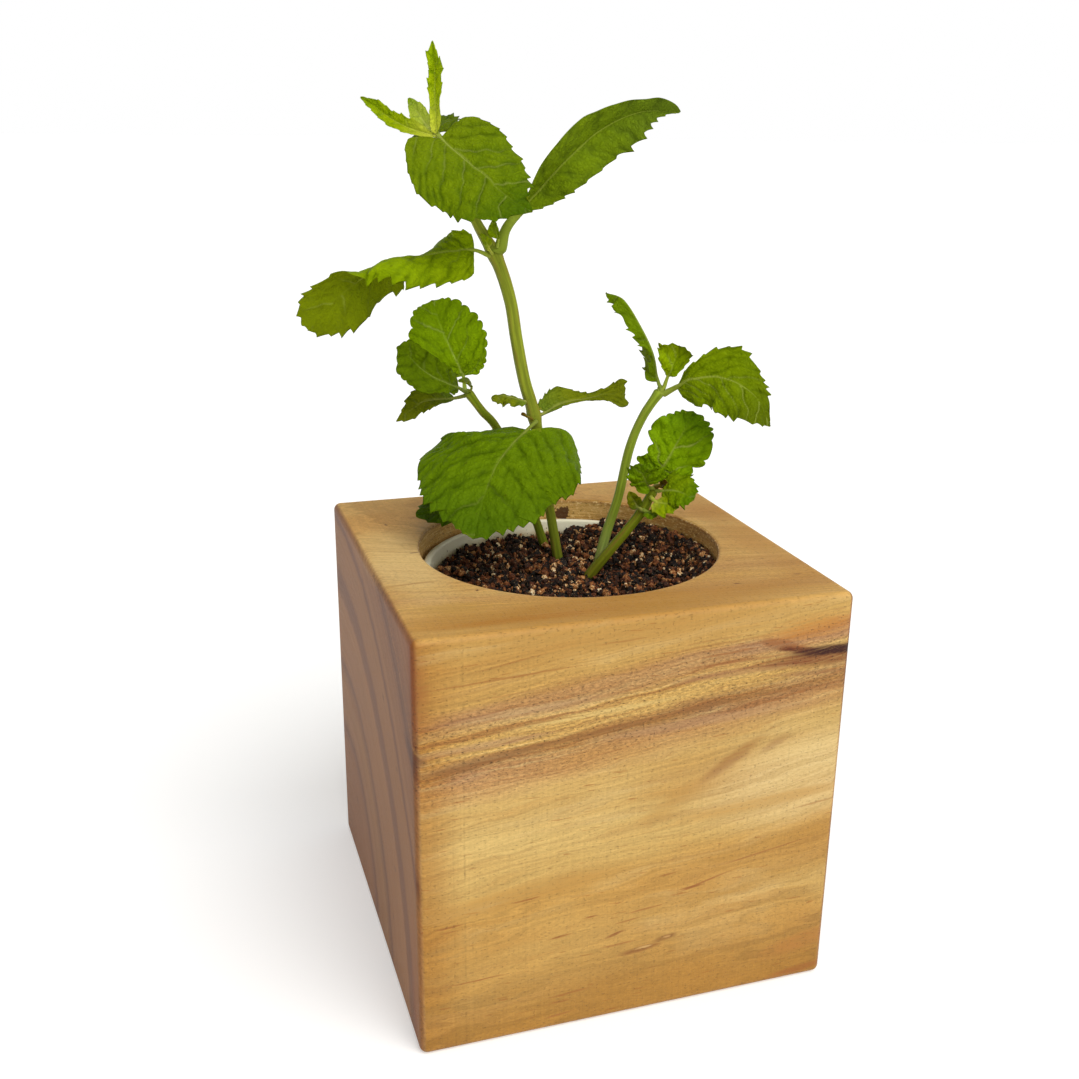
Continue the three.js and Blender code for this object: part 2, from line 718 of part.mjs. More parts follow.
    path: [[22.5, -2.5, 111.5], [24.5, -5.3, 112.8], [25.8, -7, 113.2], [27, -8.8, 113], [28.5, -11, 112]],
    face: [[-0.1, -0.9, 0.5]],
    left: [1.5, 3, 4, 3, 1.5],
    right: [1, 2.5, 3.5, 3, 2],
    fold: [[10], [10]],
    curl: [[-20], [-25]],
    stalk: BUD_PETIOLE_RADIUS,
    steps: 8,
    material: YOUNG_LEAF,
  }),
  leaf_short_yellow: new Leaf({
    stem: 'short',
    path: [[20.5, -2.5, 110.5], [21, -4, 110], [22, -6, 110], [23.5, -7.5, 110], [25, -9, 109.5]],
    face: [[-0.1, -0.7, 0.7]],
    left: [1, 2, 2.4, 2, 1],
    right: [1.5, 2.5, 3, 2.5, 1],
    fold: [[10], [10]],
    curl: [[-10], [-20]],
    stalk: BUD_PETIOLE_RADIUS,
    steps: 8,
    material: YOUNG_LEAF,
  }),
  leaf_short_low_left: new Leaf({
    stem: 'short',
    path: [[18, -2.5, 107.5], [17, -3, 108.5], [15.5, -3.5, 110.5], [14, -4, 113]],
    face: [[-0.6, -0.7, 0.4]],
    left: [0.7, 1.3, 1.6, 1.3, 0.6],
    right: [0.7, 1.3, 1.6, 1.3, 0.6],
    fold: [[20], [20]],
    curl: [[-10], [-10]],
    stalk: BUD_PETIOLE_RADIUS,
    steps: 6,
    material: OLD_LEAF,
  }),
  leaf_short_low_right: new Leaf({
    stem: 'short',
    path: [[18.5, -3, 107.5], [19, -4, 107.5], [19.5, -5.5, 107.5], [20.5, -6.5, 107]],
    face: [[0, -0.7, 0.7]],
    left: [1, 1.8, 2.1, 1.8, 0.9],
    right: [1, 1.8, 2.2, 1.8, 0.9],
    fold: [[10], [10]],
    curl: [[-10], [-10]],
    stalk: BUD_PETIOLE_RADIUS,
    steps: 6,
  }),
  bud_short: new Leaf({
    stem: 'short',
    path: [[22, -1.5, 113], [22.5, -4, 114.5], [23, -5.5, 116], [23.5, -6.5, 117]],
    face: [[-0.2, -0.8, 0.5]],
    left: [0.5, 1, 1.3, 1, 0.5],
    right: [0.5, 1, 1.3, 1, 0.5],
    fold: [[30], [30]],
    curl: [[-10], [-10]],
    stalk: BUD_PETIOLE_RADIUS,
    steps: 6,
    material: OLD_LEAF,
  }),
};

// ---------------------------------------------------------------------------------------------
// The plant in its holder

const plant = new THREE.Group();

function add(parent, name, geometry, material) {
  const mesh = new THREE.Mesh(geometry, material);
  mesh.name = name;
  parent.add(mesh);
}

const holder = new THREE.Group();
add(holder, 'wood_block', woodBlock(), WOOD);
add(holder, 'liner_cup', linerCup(), CUP);
add(holder, 'potting_mix', pottingMix(Object.values(stems)), SOIL);
plant.add(holder);

const shoots = new THREE.Group();
for (const [name, stem] of Object.entries(stems)) {
  add(shoots, `stem_${name}`, stem.solid(), STEM);
}
for (const [name, leaf] of Object.entries(leaves)) {
  add(shoots, name, leaf.geometry(), leaf.material);
}
plant.add(shoots);

export default plant;
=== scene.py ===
"""A young mint plant in a square wooden block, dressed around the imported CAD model.

Sizes of pieces are in millimetres and become metres where a mesh is made. +Z is up, the front face looks
to -Y, and the origin is the middle of the block's underside.
"""

from __future__ import annotations

import logging
import math
from dataclasses import dataclass, field
from enum import Enum
from itertools import product

import bmesh
import bpy
import numpy as np
from mathutils import Matrix, Vector

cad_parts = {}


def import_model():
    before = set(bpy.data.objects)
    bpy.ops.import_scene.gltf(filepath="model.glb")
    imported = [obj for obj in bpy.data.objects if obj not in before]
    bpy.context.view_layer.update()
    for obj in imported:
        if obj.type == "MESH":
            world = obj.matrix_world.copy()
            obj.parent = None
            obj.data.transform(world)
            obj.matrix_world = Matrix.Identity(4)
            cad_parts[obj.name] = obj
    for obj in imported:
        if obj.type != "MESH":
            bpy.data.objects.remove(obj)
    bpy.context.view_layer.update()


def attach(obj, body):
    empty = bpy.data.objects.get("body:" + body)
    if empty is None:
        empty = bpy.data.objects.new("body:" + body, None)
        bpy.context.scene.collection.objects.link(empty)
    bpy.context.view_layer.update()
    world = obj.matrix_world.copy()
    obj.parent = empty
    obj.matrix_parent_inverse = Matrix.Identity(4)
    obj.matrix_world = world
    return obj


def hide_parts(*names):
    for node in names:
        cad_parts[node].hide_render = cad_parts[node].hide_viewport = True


log = logging.getLogger("potted_mint")

MM = 0.001
BODY = "root"
Array = np.ndarray
Colour = tuple[int, int, int]
Stops = tuple[tuple[float, Colour], ...]
Pair = tuple[float, float]
Point = tuple[float, float, float]


def linear(colour: Colour) -> tuple[float, float, float, float]:
    """Turns a colour as seen on screen into the linear values that shaders take.

    Args:
        colour: red, green and blue from 0 to 255.

    Returns:
        Linear red, green, blue and an alpha of one.
    """
    shown = np.array(colour, float) / 255
    value = np.where(shown <= 0.04045, shown / 12.92, ((shown + 0.055) / 1.055) ** 2.4)
    return (*value.tolist(), 1.0)


def smooth(x: Array) -> Array:
    """Eases x from 0 to 1 with level ends: three x squared less two x cubed."""
    held = np.clip(x, 0, 1)
    return held * held * (3 - 2 * held)


# ---------------------------------------------------------------------------------------------
# Node graphs


@dataclass(frozen=True)
class Wire:
    """A node's output, with sums, products and ramps taken of it."""

    graph: Graph
    socket: bpy.types.NodeSocket

    def __add__(self, other: Wire | float) -> Wire:
        """The sum of two values."""
        return self.graph.math("ADD", self, other)

    def __sub__(self, other: Wire | float) -> Wire:
        """The difference of two values."""
        return self.graph.math("SUBTRACT", self, other)

    def __rsub__(self, other: float) -> Wire:
        """A number less this value."""
        return self.graph.math("SUBTRACT", other, self)

    def __mul__(self, other: Wire | float) -> Wire:
        """The product of two values."""
        return self.graph.math("MULTIPLY", self, other)

    def __pow__(self, other: float) -> Wire:
        """The value raised to a power."""
        return self.graph.math("POWER", self, other)

    def size(self) -> Wire:
        """The value without its sign."""
        return self.graph.math("ABSOLUTE", self)

    def step(self, low: float, high: float, start: float = 0.0, end: float = 1.0) -> Wire:
        """Start at low, end at high and eased between; low may be the larger."""
        inputs = {"Value": self, "From Min": low, "From Max": high, "To Min": start, "To Max": end}
        settings = {"interpolation_type": "SMOOTHSTEP"}
        return self.graph.value("ShaderNodeMapRange", settings, inputs, "Result")

    def ramp(self, stops: Stops, whole: float = 1.0) -> Wire:
        """Reads a colour off a row of stops.

        Args:
            stops: place and colour pairs, in rising order.
            whole: the place that counts as the end of the ramp.

        Returns:
            The colour at this value.
        """
        node = self.graph.add("ShaderNodeValToRGB", {}, {0: self * (1 / whole)})
        elements = node.color_ramp.elements
        while len(elements) < len(stops):
            elements.new(1.0)
        for element, (place, colour) in zip(elements, stops):
            element.position = place / whole
            element.color = linear(colour)
        return Wire(self.graph, node.outputs["Color"])


class Graph:
    """The nodes of a material or of the world, with a short call for each kind that is used."""

    def __init__(self, owner: bpy.types.Material | bpy.types.World) -> None:
        """Takes a material or world and empties its nodes.

        Args:
            owner: the material or world.
        """
        owner.use_nodes = True
        self.owner = owner
        self.tree = owner.node_tree
        self.tree.nodes.clear()

    @classmethod
    def of_material(cls, name: str) -> Graph:
        """The empty graph of a new material."""
        return cls(bpy.data.materials.new(name))

    def add(self, kind: str, settings: dict, inputs: dict) -> bpy.types.Node:
        """Adds a node.

        Args:
            kind: the node's type.
            settings: properties set on the node itself.
            inputs: values or wires by the name or number of the input.

        Returns:
            The new node.
        """
        node = self.tree.nodes.new(kind)
        for name, value in settings.items():
            setattr(node, name, value)
        for name, value in inputs.items():
            if isinstance(value, Wire):
                self.tree.links.new(value.socket, node.inputs[name])
            else:
                node.inputs[name].default_value = value
        return node

    def value(self, kind: str, settings: dict, inputs: dict, output: int | str = 0) -> Wire:
        """Adds a node and returns one of its outputs, by number or name."""
        return Wire(self, self.add(kind, settings, inputs).outputs[output])

    def math(self, operation: str, a: Wire | float, b: Wire | float = 0.0) -> Wire:
        """Adds a Math node of one or two values."""
        return self.value("ShaderNodeMath", {"operation": operation}, {0: a, 1: b})

    def vector(self, operation: str, inputs: dict) -> Wire:
        """Adds a Vector Math node."""
        return self.value("ShaderNodeVectorMath", {"operation": operation}, inputs)

    def shade(self, colour: Wire, factor: Wire | float) -> Wire:
        """Multiplies all parts of a colour or vector by one value."""
        return self.vector("SCALE", {0: colour, 3: factor})

    def place(self) -> Wire:
        """The Object coordinates, in millimetres."""
        return self.shade(self.value("ShaderNodeTexCoord", {}, {}, "Object"), 1 / MM)

    def split(self, vector: Wire) -> tuple[Wire, Wire, Wire]:
        """The three parts of a vector."""
        node = self.add("ShaderNodeSeparateXYZ", {}, {0: vector})
        return tuple(Wire(self, output) for output in node.outputs)

    def join(self, x: Wire | float, y: Wire | float, z: Wire | float = 0.0) -> Wire:
        """A vector of three values."""
        return self.value("ShaderNodeCombineXYZ", {}, {0: x, 1: y, 2: z})

    def stretch(self, vector: Wire, scale: Point) -> Wire:
        """A vector with each of its parts multiplied."""
        return self.vector("MULTIPLY", {0: vector, 1: scale})

    def attribute(self, name: str) -> Wire:
        """A float attribute of the mesh."""
        return self.value("ShaderNodeAttribute", {"attribute_name": name}, {}, "Fac")

    def noise(self, vector: Wire, scale: float, detail: float = 2.0, rough: float = 0.5) -> Wire:
        """Soft noise from about 0.2 to 0.8; scale is in patches per millimetre."""
        inputs = {"Vector": vector, "Scale": scale, "Detail": detail, "Roughness": rough}
        return self.value("ShaderNodeTexNoise", {}, inputs)

    def borders(self, vector: Wire, scale: float) -> Wire:
        """Distance to the borders of Voronoi cells; scale is in cells per millimetre."""
        settings = {"feature": "DISTANCE_TO_EDGE"}
        return self.value("ShaderNodeTexVoronoi", settings, {"Vector": vector, "Scale": scale}, "Distance")

    def ball(self, vector: Wire, middle: Point, turn: Point, reach: Point) -> Wire:
        """One at the middle of a turned ellipsoid with the given half sizes, and zero from its skin on."""
        inputs = {"Vector": vector, "Location": middle, "Rotation": turn, "Scale": reach}
        local = self.value("ShaderNodeMapping", {"vector_type": "TEXTURE"}, inputs)
        return self.value("ShaderNodeTexGradient", {"gradient_type": "SPHERICAL"}, {0: local}, "Fac")

    def mix(self, share: Wire | float, a: Wire | Colour, b: Wire | Colour, how: str = "MIX") -> Wire:
        """Mixes two colours; share 0 gives the first."""
        first, second = (c if isinstance(c, Wire) else linear(c) for c in (a, b))
        settings = {"data_type": "RGBA", "blend_type": how}
        return self.value("ShaderNodeMix", settings, {0: share, 6: first, 7: second}, 2)

    def coats(self, colour: Wire, *coats: tuple[Wire, Wire | Colour]) -> Wire:
        """Lays coats over a colour in turn, each of them a share and the coat's own colour."""
        for share, coat in coats:
            colour = self.mix(share, colour, coat)
        return colour

    def bump(self, height: Wire, depth: float) -> Wire:
        """A normal bent by a height from 0 to 1; depth is what a height of one is, in millimetres."""
        return self.value("ShaderNodeBump", {}, {"Height": height, "Distance": depth * MM, "Strength": 1.0})

    def principled(self, **inputs: Wire | float | tuple) -> Wire:
        """A Principled shader; an input's underscores stand for spaces."""
        named = {name.replace("_", " "): value for name, value in inputs.items()}
        return self.value("ShaderNodeBsdfPrincipled", {}, named)

    def finish(self, shader: Wire) -> bpy.types.Material:
        """Links the shader to the output and returns the material."""
        self.add("ShaderNodeOutputMaterial", {}, {0: shader})
        return self.owner


# ---------------------------------------------------------------------------------------------
# Meshes


@dataclass
class Skin:
    """A closed surface as arrays: points in millimetres, quads, triangles and values at the points."""

    points: Array
    quads: Array
    triangles: Array
    values: dict[str, Array] = field(default_factory=dict)

    def facing_out(self) -> Skin:
        """Turns all faces over if the volume that they close in is below zero.

        Returns:
            The same skin.
        """
        first, second, third = np.moveaxis(
            self.points[np.vstack([self.triangles, self.quads[:, :3], self.quads[:, [0, 2, 3]]])], 1, 0
        )
        if np.einsum("ij,ij->i", first, np.cross(second, third)).sum() < 0:
            self.quads, self.triangles = self.quads[:, ::-1], self.triangles[:, ::-1]
        return self

    @staticmethod
    def joined(skins: list[Skin]) -> Skin:
        """One skin of several, which keep their own points.

        Args:
            skins: the skins, which carry values of the same names.

        Returns:
            The joined skin.
        """
        starts = np.cumsum([0] + [len(skin.points) for skin in skins])
        return Skin(
            np.vstack([skin.points for skin in skins]),
            np.vstack([skin.quads + start for skin, start in zip(skins, starts)]),
            np.vstack([skin.triangles + start for skin, start in zip(skins, starts)]),
            {name: np.concatenate([skin.values[name] for skin in skins]) for name in skins[0].values},
        )


def loft(rings: Array, values: dict[str, Array] | None = None) -> Skin:
    """Closes a row of rings into a skin, with a fan to the middle of each end ring.

    Ring i and ring i + 1 are joined point by point, and the last point of a ring joins its first.

    Args:
        rings: points as an array of rings by points by three.
        values: per point values as arrays of rings by points.

    Returns:
        The closed skin, its faces outwards.
    """
    rows, count = rings.shape[:2]
    row, column = np.meshgrid(np.arange(rows - 1), np.arange(count), indexing="ij")
    after = (column + 1) % count
    quads = np.stack(
        [row * count + column, row * count + after, (row + 1) * count + after, (row + 1) * count + column],
        axis=-1,
    ).reshape(-1, 4)
    start, end = rows * count, rows * count + 1
    around = np.arange(count)
    following = (around + 1) % count
    last = (rows - 1) * count
    triangles = np.vstack(
        [
            np.stack([np.full(count, start), following, around], axis=1),
            np.stack([np.full(count, end), last + around, last + following], axis=1),
        ]
    )
    points = np.vstack([rings.reshape(-1, 3), rings[0].mean(0), rings[-1].mean(0)])
    carried = {
        name: np.concatenate([grid.ravel(), [grid[0].mean(), grid[-1].mean()]])
        for name, grid in (values or {}).items()
    }
    return Skin(points, quads, triangles, carried).facing_out()


def make_piece(
    name: str,
    skin: Skin,
    material: bpy.types.Material,
    replaces: tuple[str, ...] = (),
    rounded: bool = True,
) -> bpy.types.Object:
    """Puts a skin into the scene as a piece of the object.

    Args:
        name: the piece's name.
        skin: its surface, in millimetres.
        material: its finish.
        replaces: CAD nodes that it stands for.
        rounded: whether it is shaded smooth; if not, each face shows.

    Returns:
        The new object, with its place in its mesh.
    """
    mesh = bpy.data.meshes.new(name)
    loops = np.concatenate([skin.quads.ravel(), skin.triangles.ravel()])
    sizes = np.concatenate([np.full(len(skin.quads), 4), np.full(len(skin.triangles), 3)])
    mesh.vertices.add(len(skin.points))
    mesh.vertices.foreach_set("co", (skin.points * MM).astype(np.float32).ravel())
    mesh.loops.add(len(loops))
    mesh.loops.foreach_set("vertex_index", loops.astype(np.int32))
    mesh.polygons.add(len(sizes))
    mesh.polygons.foreach_set("loop_start", (np.cumsum(sizes) - sizes).astype(np.int32))
    mesh.polygons.foreach_set("use_smooth", np.full(len(sizes), rounded))
    mesh.update(calc_edges=True)
    for key, value in skin.values.items():
        mesh.attributes.new(key, "FLOAT", "POINT").data.foreach_set("value", value.astype(np.float32))
    mesh.materials.append(material)
    piece = bpy.data.objects.new(name, mesh)
    bpy.context.scene.collection.objects.link(piece)
    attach(piece, BODY)
    if replaces:
        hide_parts(*replaces)
    log.info("%s: %d points, %d faces", name, len(skin.points), len(sizes))
    return piece


def merge_doubles(piece: bpy.types.Object) -> None:
    """Merges points of a piece that lie on each other.

    Args:
        piece: the piece.
    """
    work = bmesh.new()
    work.from_mesh(piece.data)
    bmesh.ops.remove_doubles(work, verts=work.verts, dist=0.01 * MM)
    work.to_mesh(piece.data)
    work.free()


def catmull_rom(points: Array, places: Array) -> Array:
    """Reads a curve through points: on each span a cubic whose slope at a point is half the way
    between that point's neighbours.

    Args:
        points: the points that the curve passes, by rows.
        places: where to read it, from 0 to 1.

    Returns:
        One row per place.
    """
    known = np.asarray(points, float)
    padded = np.vstack([2 * known[0] - known[1], known, 2 * known[-1] - known[-2]])
    reach = np.clip(places, 0, 1) * (len(known) - 1)
    index = np.minimum(reach.astype(int), len(known) - 2)
    share = (reach - index)[:, None]
    before, start, end, after = (padded[index + i] for i in range(4))
    leave, arrive = 0.5 * (end - before), 0.5 * (after - start)
    cubic = (2 * start - 2 * end + leave + arrive) * share**3
    square = (3 * end - 3 * start - 2 * leave - arrive) * share**2
    return cubic + square + leave * share + start


def directions(points: Array, places: Array) -> Array:
    """Unit tangents of a curve through points, from places a little apart.

    Args:
        points: the points that the curve passes, by rows.
        places: where to read it, from 0 to 1.

    Returns:
        One row per place.
    """
    nudge = 1e-3
    ahead = catmull_rom(points, np.clip(places + nudge, 0, 1))
    behind = catmull_rom(points, np.clip(places - nudge, 0, 1))
    tangent = ahead - behind
    return tangent / np.linalg.norm(tangent, axis=1)[:, None]


def eased(stations: list, places: Array) -> Array:
    """Values at even stations along 0 to 1, eased from each to the next.

    Args:
        stations: numbers or points, one per station.
        places: where to read it, from 0 to 1.

    Returns:
        A number or point per place.
    """
    known = np.asarray(stations, float)
    if len(known) == 1:
        return np.repeat(known, len(places), axis=0)
    reach = np.clip(places, 0, 1) * (len(known) - 1)
    index = np.minimum(reach.astype(int), len(known) - 2)
    share = smooth(reach - index)
    if known.ndim == 2:
        share = share[:, None]
    return known[index] * (1 - share) + known[index + 1] * share


def circle(count: int) -> Array:
    """Even angles once round, from zero up to but not with the full turn."""
    return np.linspace(0, 2 * math.pi, count, endpoint=False)


def level_rings(radii: Array, heights: Array, count: int) -> Array:
    """Level rings of count points about the Z axis, one for each radius and height."""
    angle = circle(count)
    radius, height = np.asarray(radii, float)[:, None], np.asarray(heights, float)[:, None]
    return np.stack([radius * np.cos(angle), radius * np.sin(angle), np.repeat(height, count, 1)], -1)


def tube(middle: Array, reach: Array, across: Array, up: Array) -> Array:
    """Rings about a curve: its point, plus reach times the cosine of an angle along the one direction and
    reach times its sine along the other.

    Args:
        middle: the curve's points, by rows.
        reach: distances from the curve, as rows by the points of a ring.
        across: unit direction of angle zero, by rows.
        up: unit direction of a quarter turn, by rows.

    Returns:
        Points as rows by points by three.
    """
    angle = circle(reach.shape[1])
    sideways = (reach * np.cos(angle))[..., None] * across[:, None]
    return middle[:, None] + sideways + (reach * np.sin(angle))[..., None] * up[:, None]


def value_noise(u: Array, v: Array, seed: int) -> Array:
    """Smooth noise from -1 to 1 over a plane: random values at whole numbers, eased between them.

    Args:
        u: first coordinate.
        v: second coordinate.
        seed: seed of the random values.

    Returns:
        One value per pair of coordinates.
    """
    size = 64
    lattice = np.random.default_rng(seed).uniform(-1, 1, (size, size))
    column, row = np.floor(u).astype(int), np.floor(v).astype(int)
    across, down = smooth(u - column), smooth(v - row)

    def corner(right: int, below: int) -> Array:
        """The lattice's values at one corner of each cell."""
        return lattice[(row + below) % size, (column + right) % size]

    upper = corner(0, 0) * (1 - across) + corner(1, 0) * across
    lower = corner(0, 1) * (1 - across) + corner(1, 1) * across
    return upper * (1 - down) + lower * down


# ---------------------------------------------------------------------------------------------
# The wooden block


class Face(Enum):
    """A face of the block that marks lie on, with the axis that they turn about."""

    FRONT = "Y"
    LEFT = "X"
    TOP = "Z"


@dataclass(frozen=True)
class Mark:
    """A streak or knot on a face, from (u0, v0) to (u1, v1), in millimetres from the face's upper left."""

    face: Face
    u0: float
    v0: float
    u1: float
    v1: float
    width: float
    colour: Colour
    strength: float = 0.8

    def placed(self, side: float) -> tuple[Point, Point, Point]:
        """Where the mark lies on the block.

        Args:
            side: the block's side.

        Returns:
            The middle, the turn in radians about the face's axis, and the half sizes.
        """
        half, wide, deep = side / 2, self.width / 2, 5
        u, v = (self.u0 + self.u1) / 2, (self.v0 + self.v1) / 2
        du, dv = self.u1 - self.u0, self.v1 - self.v0
        long = math.hypot(du, dv) / 2 + wide
        if self.face is Face.FRONT:
            return (u - half, -half, side - v), (0, math.atan2(dv, du), 0), (long, deep, wide)
        if self.face is Face.LEFT:
            return (-half, half - u, side - v), (math.atan2(dv, du), 0, 0), (deep, long, wide)
        return (u - half, half - v, side), (0, 0, math.atan2(-dv, du)), (long, wide, deep)


def marks_on(face: Face, *rows: tuple) -> tuple[Mark, ...]:
    """The marks of one face, from rows of what a mark holds after its face."""
    return tuple(Mark(face, *row) for row in rows)


@dataclass(frozen=True)
class WoodFinish:
    """Sanded softwood whose rings run round an axis along X: gold with brown and mauve bands.

    The long faces and the end grain have a row of ring colours each, by the distance from the axis. The end
    grain's tint is partly its own darker colour and partly painted shade of the end faces.
    """

    pith_y: float = 40.0
    pith_z: float = 3.0
    pith_rise: float = 0.12
    last_ring: float = 140.0
    band_ring: float = 118.0
    plain_top: Colour = (208, 166, 104)
    patch: Colour = (186, 132, 58)
    left_edge: Colour = (174, 116, 42)
    light_drift: Colour = (228, 192, 126)
    # Painted shade: the colour that the long faces darken to towards the bottom.
    dark_drift: Colour = (184, 126, 52)
    foot: Colour = (166, 112, 36)
    dark_fibre: Colour = (146, 88, 40)
    light_fibre: Colour = (228, 192, 124)
    dash: Colour = (158, 92, 36)
    burnt_side: Colour = (176, 112, 48)
    burnt_patch: Colour = (140, 88, 40)
    burnt_mouth: Colour = (136, 84, 36)
    light_chip: Colour = (255, 226, 160)
    dark_chip: Colour = (84, 46, 18)
    knot: Colour = (66, 28, 14)
    knot_middle: Point = (10.2, 35.1, 96.2)
    knot_reach: Point = (3.2, 4.0, 2.6)
    long_tint: Colour = (230, 236, 242)
    top_tint: Colour = (244, 240, 218)
    # The end grain's tint: partly its own darker colour and partly painted shade of the end faces.
    end_tint_with_shade: Colour = (206, 179, 131)
    # Cuts of the saw across the long faces: place along X, half width and strength.
    saw_cuts: tuple[Point, ...] = (
        (-39.6, 0.4, 0.5), (-25.8, 0.3, 0.3), (-42.0, 0.3, 0.25), (15.2, 0.3, 0.2), (36.4, 0.3, 0.2),
    )
    # The wall's tan, made lighter as painted light against the shade in the well.
    wall_tones_with_light: Stops = (
        (0.3, (176, 126, 62)), (0.48, (216, 170, 94)), (0.62, (236, 198, 124)), (0.75, (250, 230, 176)),
    )
    long_rings: Stops = (
        (0, (204, 158, 88)), (70, (204, 160, 88)), (90, (208, 166, 92)), (96, (196, 146, 70)),
        (99, (208, 166, 92)), (104, (214, 176, 104)), (110, (210, 168, 96)), (112.4, (196, 148, 92)),
        (114.0, (176, 128, 84)), (115.2, (140, 92, 48)), (116.4, (160, 110, 62)), (117.4, (214, 174, 98)),
        (119.0, (218, 178, 100)), (119.5, (186, 138, 74)), (120.0, (212, 170, 96)),
        (121.4, (178, 134, 92)), (123.2, (176, 130, 90)), (124.6, (206, 162, 88)), (128, (204, 158, 82)),
        (140, (198, 150, 74)),
    )
    end_rings: Stops = (
        (0, (156, 112, 74)), (34, (160, 118, 80)), (38.5, (134, 92, 64)), (42, (160, 120, 80)),
        (53, (168, 130, 88)), (58.5, (136, 96, 66)), (61, (166, 126, 88)), (77, (172, 132, 92)),
        (81, (142, 102, 74)), (84.5, (136, 94, 66)), (87, (166, 126, 86)), (98, (168, 128, 86)),
        (100.6, (130, 86, 58)), (102.4, (164, 124, 84)), (112, (160, 118, 82)), (116.5, (122, 82, 62)),
        (119, (150, 110, 78)), (126, (160, 114, 72)), (140, (164, 112, 64)),
    )

    def streaked(
        self, g: Graph, colour: Wire, place: Wire, strength: Wire, side: float, marks: tuple[Mark, ...]
    ) -> Wire:
        """Lays streaks and knots over a colour, each within a thin ellipsoid with a ragged edge.

        Args:
            g: the material's nodes.
            colour: the colour so far.
            place: the place in millimetres.
            strength: how strongly the grain takes a mark here.
            side: the block's side.
            marks: the marks.

        Returns:
            The colour with its marks.
        """
        ragged = g.noise(g.stretch(place, (0.16, 0.7, 0.7)), 1.0, 4.0, 0.6) - 0.5
        shifted = g.vector("ADD", {0: place, 1: g.stretch(ragged, (5.0, 1.0, 1.0))})
        for mark in marks:
            within = g.ball(shifted, *mark.placed(side)).step(0.0, 0.7)
            colour = g.mix(within * strength * mark.strength, colour, mark.colour)
        return colour

    def well(self, g: Graph, place: Wire, block: WoodBlock) -> tuple[Wire, Wire, Wire]:
        """The well's turned wall, burnt in places and chipped, its tan made lighter as painted light against
        the shade in the well.

        Args:
            g: the material's nodes.
            place: the place in millimetres.
            block: the block, for its sizes.

        Returns:
            The wall's colour, one within the well and zero outside, and the height of the wall's furrows.
        """
        x, y, z = g.split(place)
        across = (x * x + y * y) ** 0.5
        below = z.step(block.side + 0.2, block.side - 0.4)
        within = across.step(block.well_radius + 0.5, block.well_radius + 0.1) * below
        arc = g.math("ARCTAN2", y, x) * block.well_radius
        turned = g.noise(g.join(arc * 0.09, z * 2.6), 1.0, 5.0, 0.7)
        burnt = g.noise(g.join(arc * 0.05, z * 0.25), 1.0, 3.0, 0.6)
        chips = g.noise(g.join(arc * 0.9, z * 1.7), 1.0, 3.0, 0.7)
        wall = g.coats(
            turned.ramp(self.wall_tones_with_light),
            (x.step(14, 38) * 0.5, self.burnt_side),
            (burnt.step(0.5, 0.68) * 0.45, self.burnt_patch),
            (z.step(block.side - 1.4, block.side - 0.4) * 0.6, self.burnt_mouth),
            (chips.step(0.54, 0.64) * 0.7, self.light_chip),
            (chips.step(0.42, 0.32) * 0.75, self.dark_chip),
        )
        return wall, within, turned + chips

    def build(self, block: WoodBlock, marks: tuple[Mark, ...]) -> bpy.types.Material:
        """Makes the material for a block.

        Args:
            block: the block, for its sizes.
            marks: streaks and knots on its faces.

        Returns:
            The material.
        """
        g = Graph.of_material("bare_sanded_wood")
        place = g.place()
        x, y, z = g.split(place)
        broad = g.noise(g.stretch(place, (0.011, 0.03, 0.03)), 1.0, 2.0) - 0.5
        fine = g.noise(g.stretch(place, (0.04, 0.22, 0.22)), 1.0, 3.0) - 0.5
        down = y - self.pith_y
        up = z - (x * self.pith_rise + self.pith_z)
        ring = (down * down + up * up) ** 0.5 + broad * 4.0 + fine * 2.4
        end_grain = x.size().step(block.side / 2 - 1.4, block.side / 2 - 0.3)
        on_top = z.step(block.side - 1.2, block.side - 0.2)
        long_face = 1 - end_grain
        upright = long_face * (1 - on_top)

        # The ring colours, with broad patches and drifts over them, and painted shade that darkens the long
        # faces towards the bottom.
        hairlines = g.noise(g.join(x * 0.012, ring * 2.4, 0.0), 1.0, 5.0, 0.7)
        speckle = g.noise(g.stretch(place, (0.9, 2.2, 2.2)), 1.0, 4.0, 0.75)
        saw = g.noise(g.join(x * 2.0, z * 0.03, y * 0.03), 1.0, 4.0, 0.75)
        patches = g.noise(g.stretch(place, (0.018, 0.05, 0.05)), 1.0, 2.0).step(0.38, 0.68)
        drifts = g.noise(g.join(x * 0.02, ring * 0.35, 7.0), 1.0, 4.0, 0.6)
        colour = g.coats(
            ring.ramp(self.long_rings, self.last_ring),
            (on_top * 0.72, self.plain_top),
            (patches * 0.5, self.patch),
            (upright * x.step(-38, -49) * 0.7, self.left_edge),
            (long_face * drifts.step(0.5, 0.72) * 0.34, self.light_drift),
            (upright * drifts.step(0.5, 0.3) * 0.3, self.dark_drift),
            # Painted shade, darker towards the bottom of the long faces.
            (long_face * z.step(30, 0) * 0.85, self.foot),
            (end_grain, ring.ramp(self.end_rings, self.last_ring)),
        )
        colour = g.shade(colour, hairlines.step(0.25, 0.75) * 0.34 + 0.83)
        colour = g.shade(colour, saw.step(0.3, 0.7) * 0.09 + 0.955)

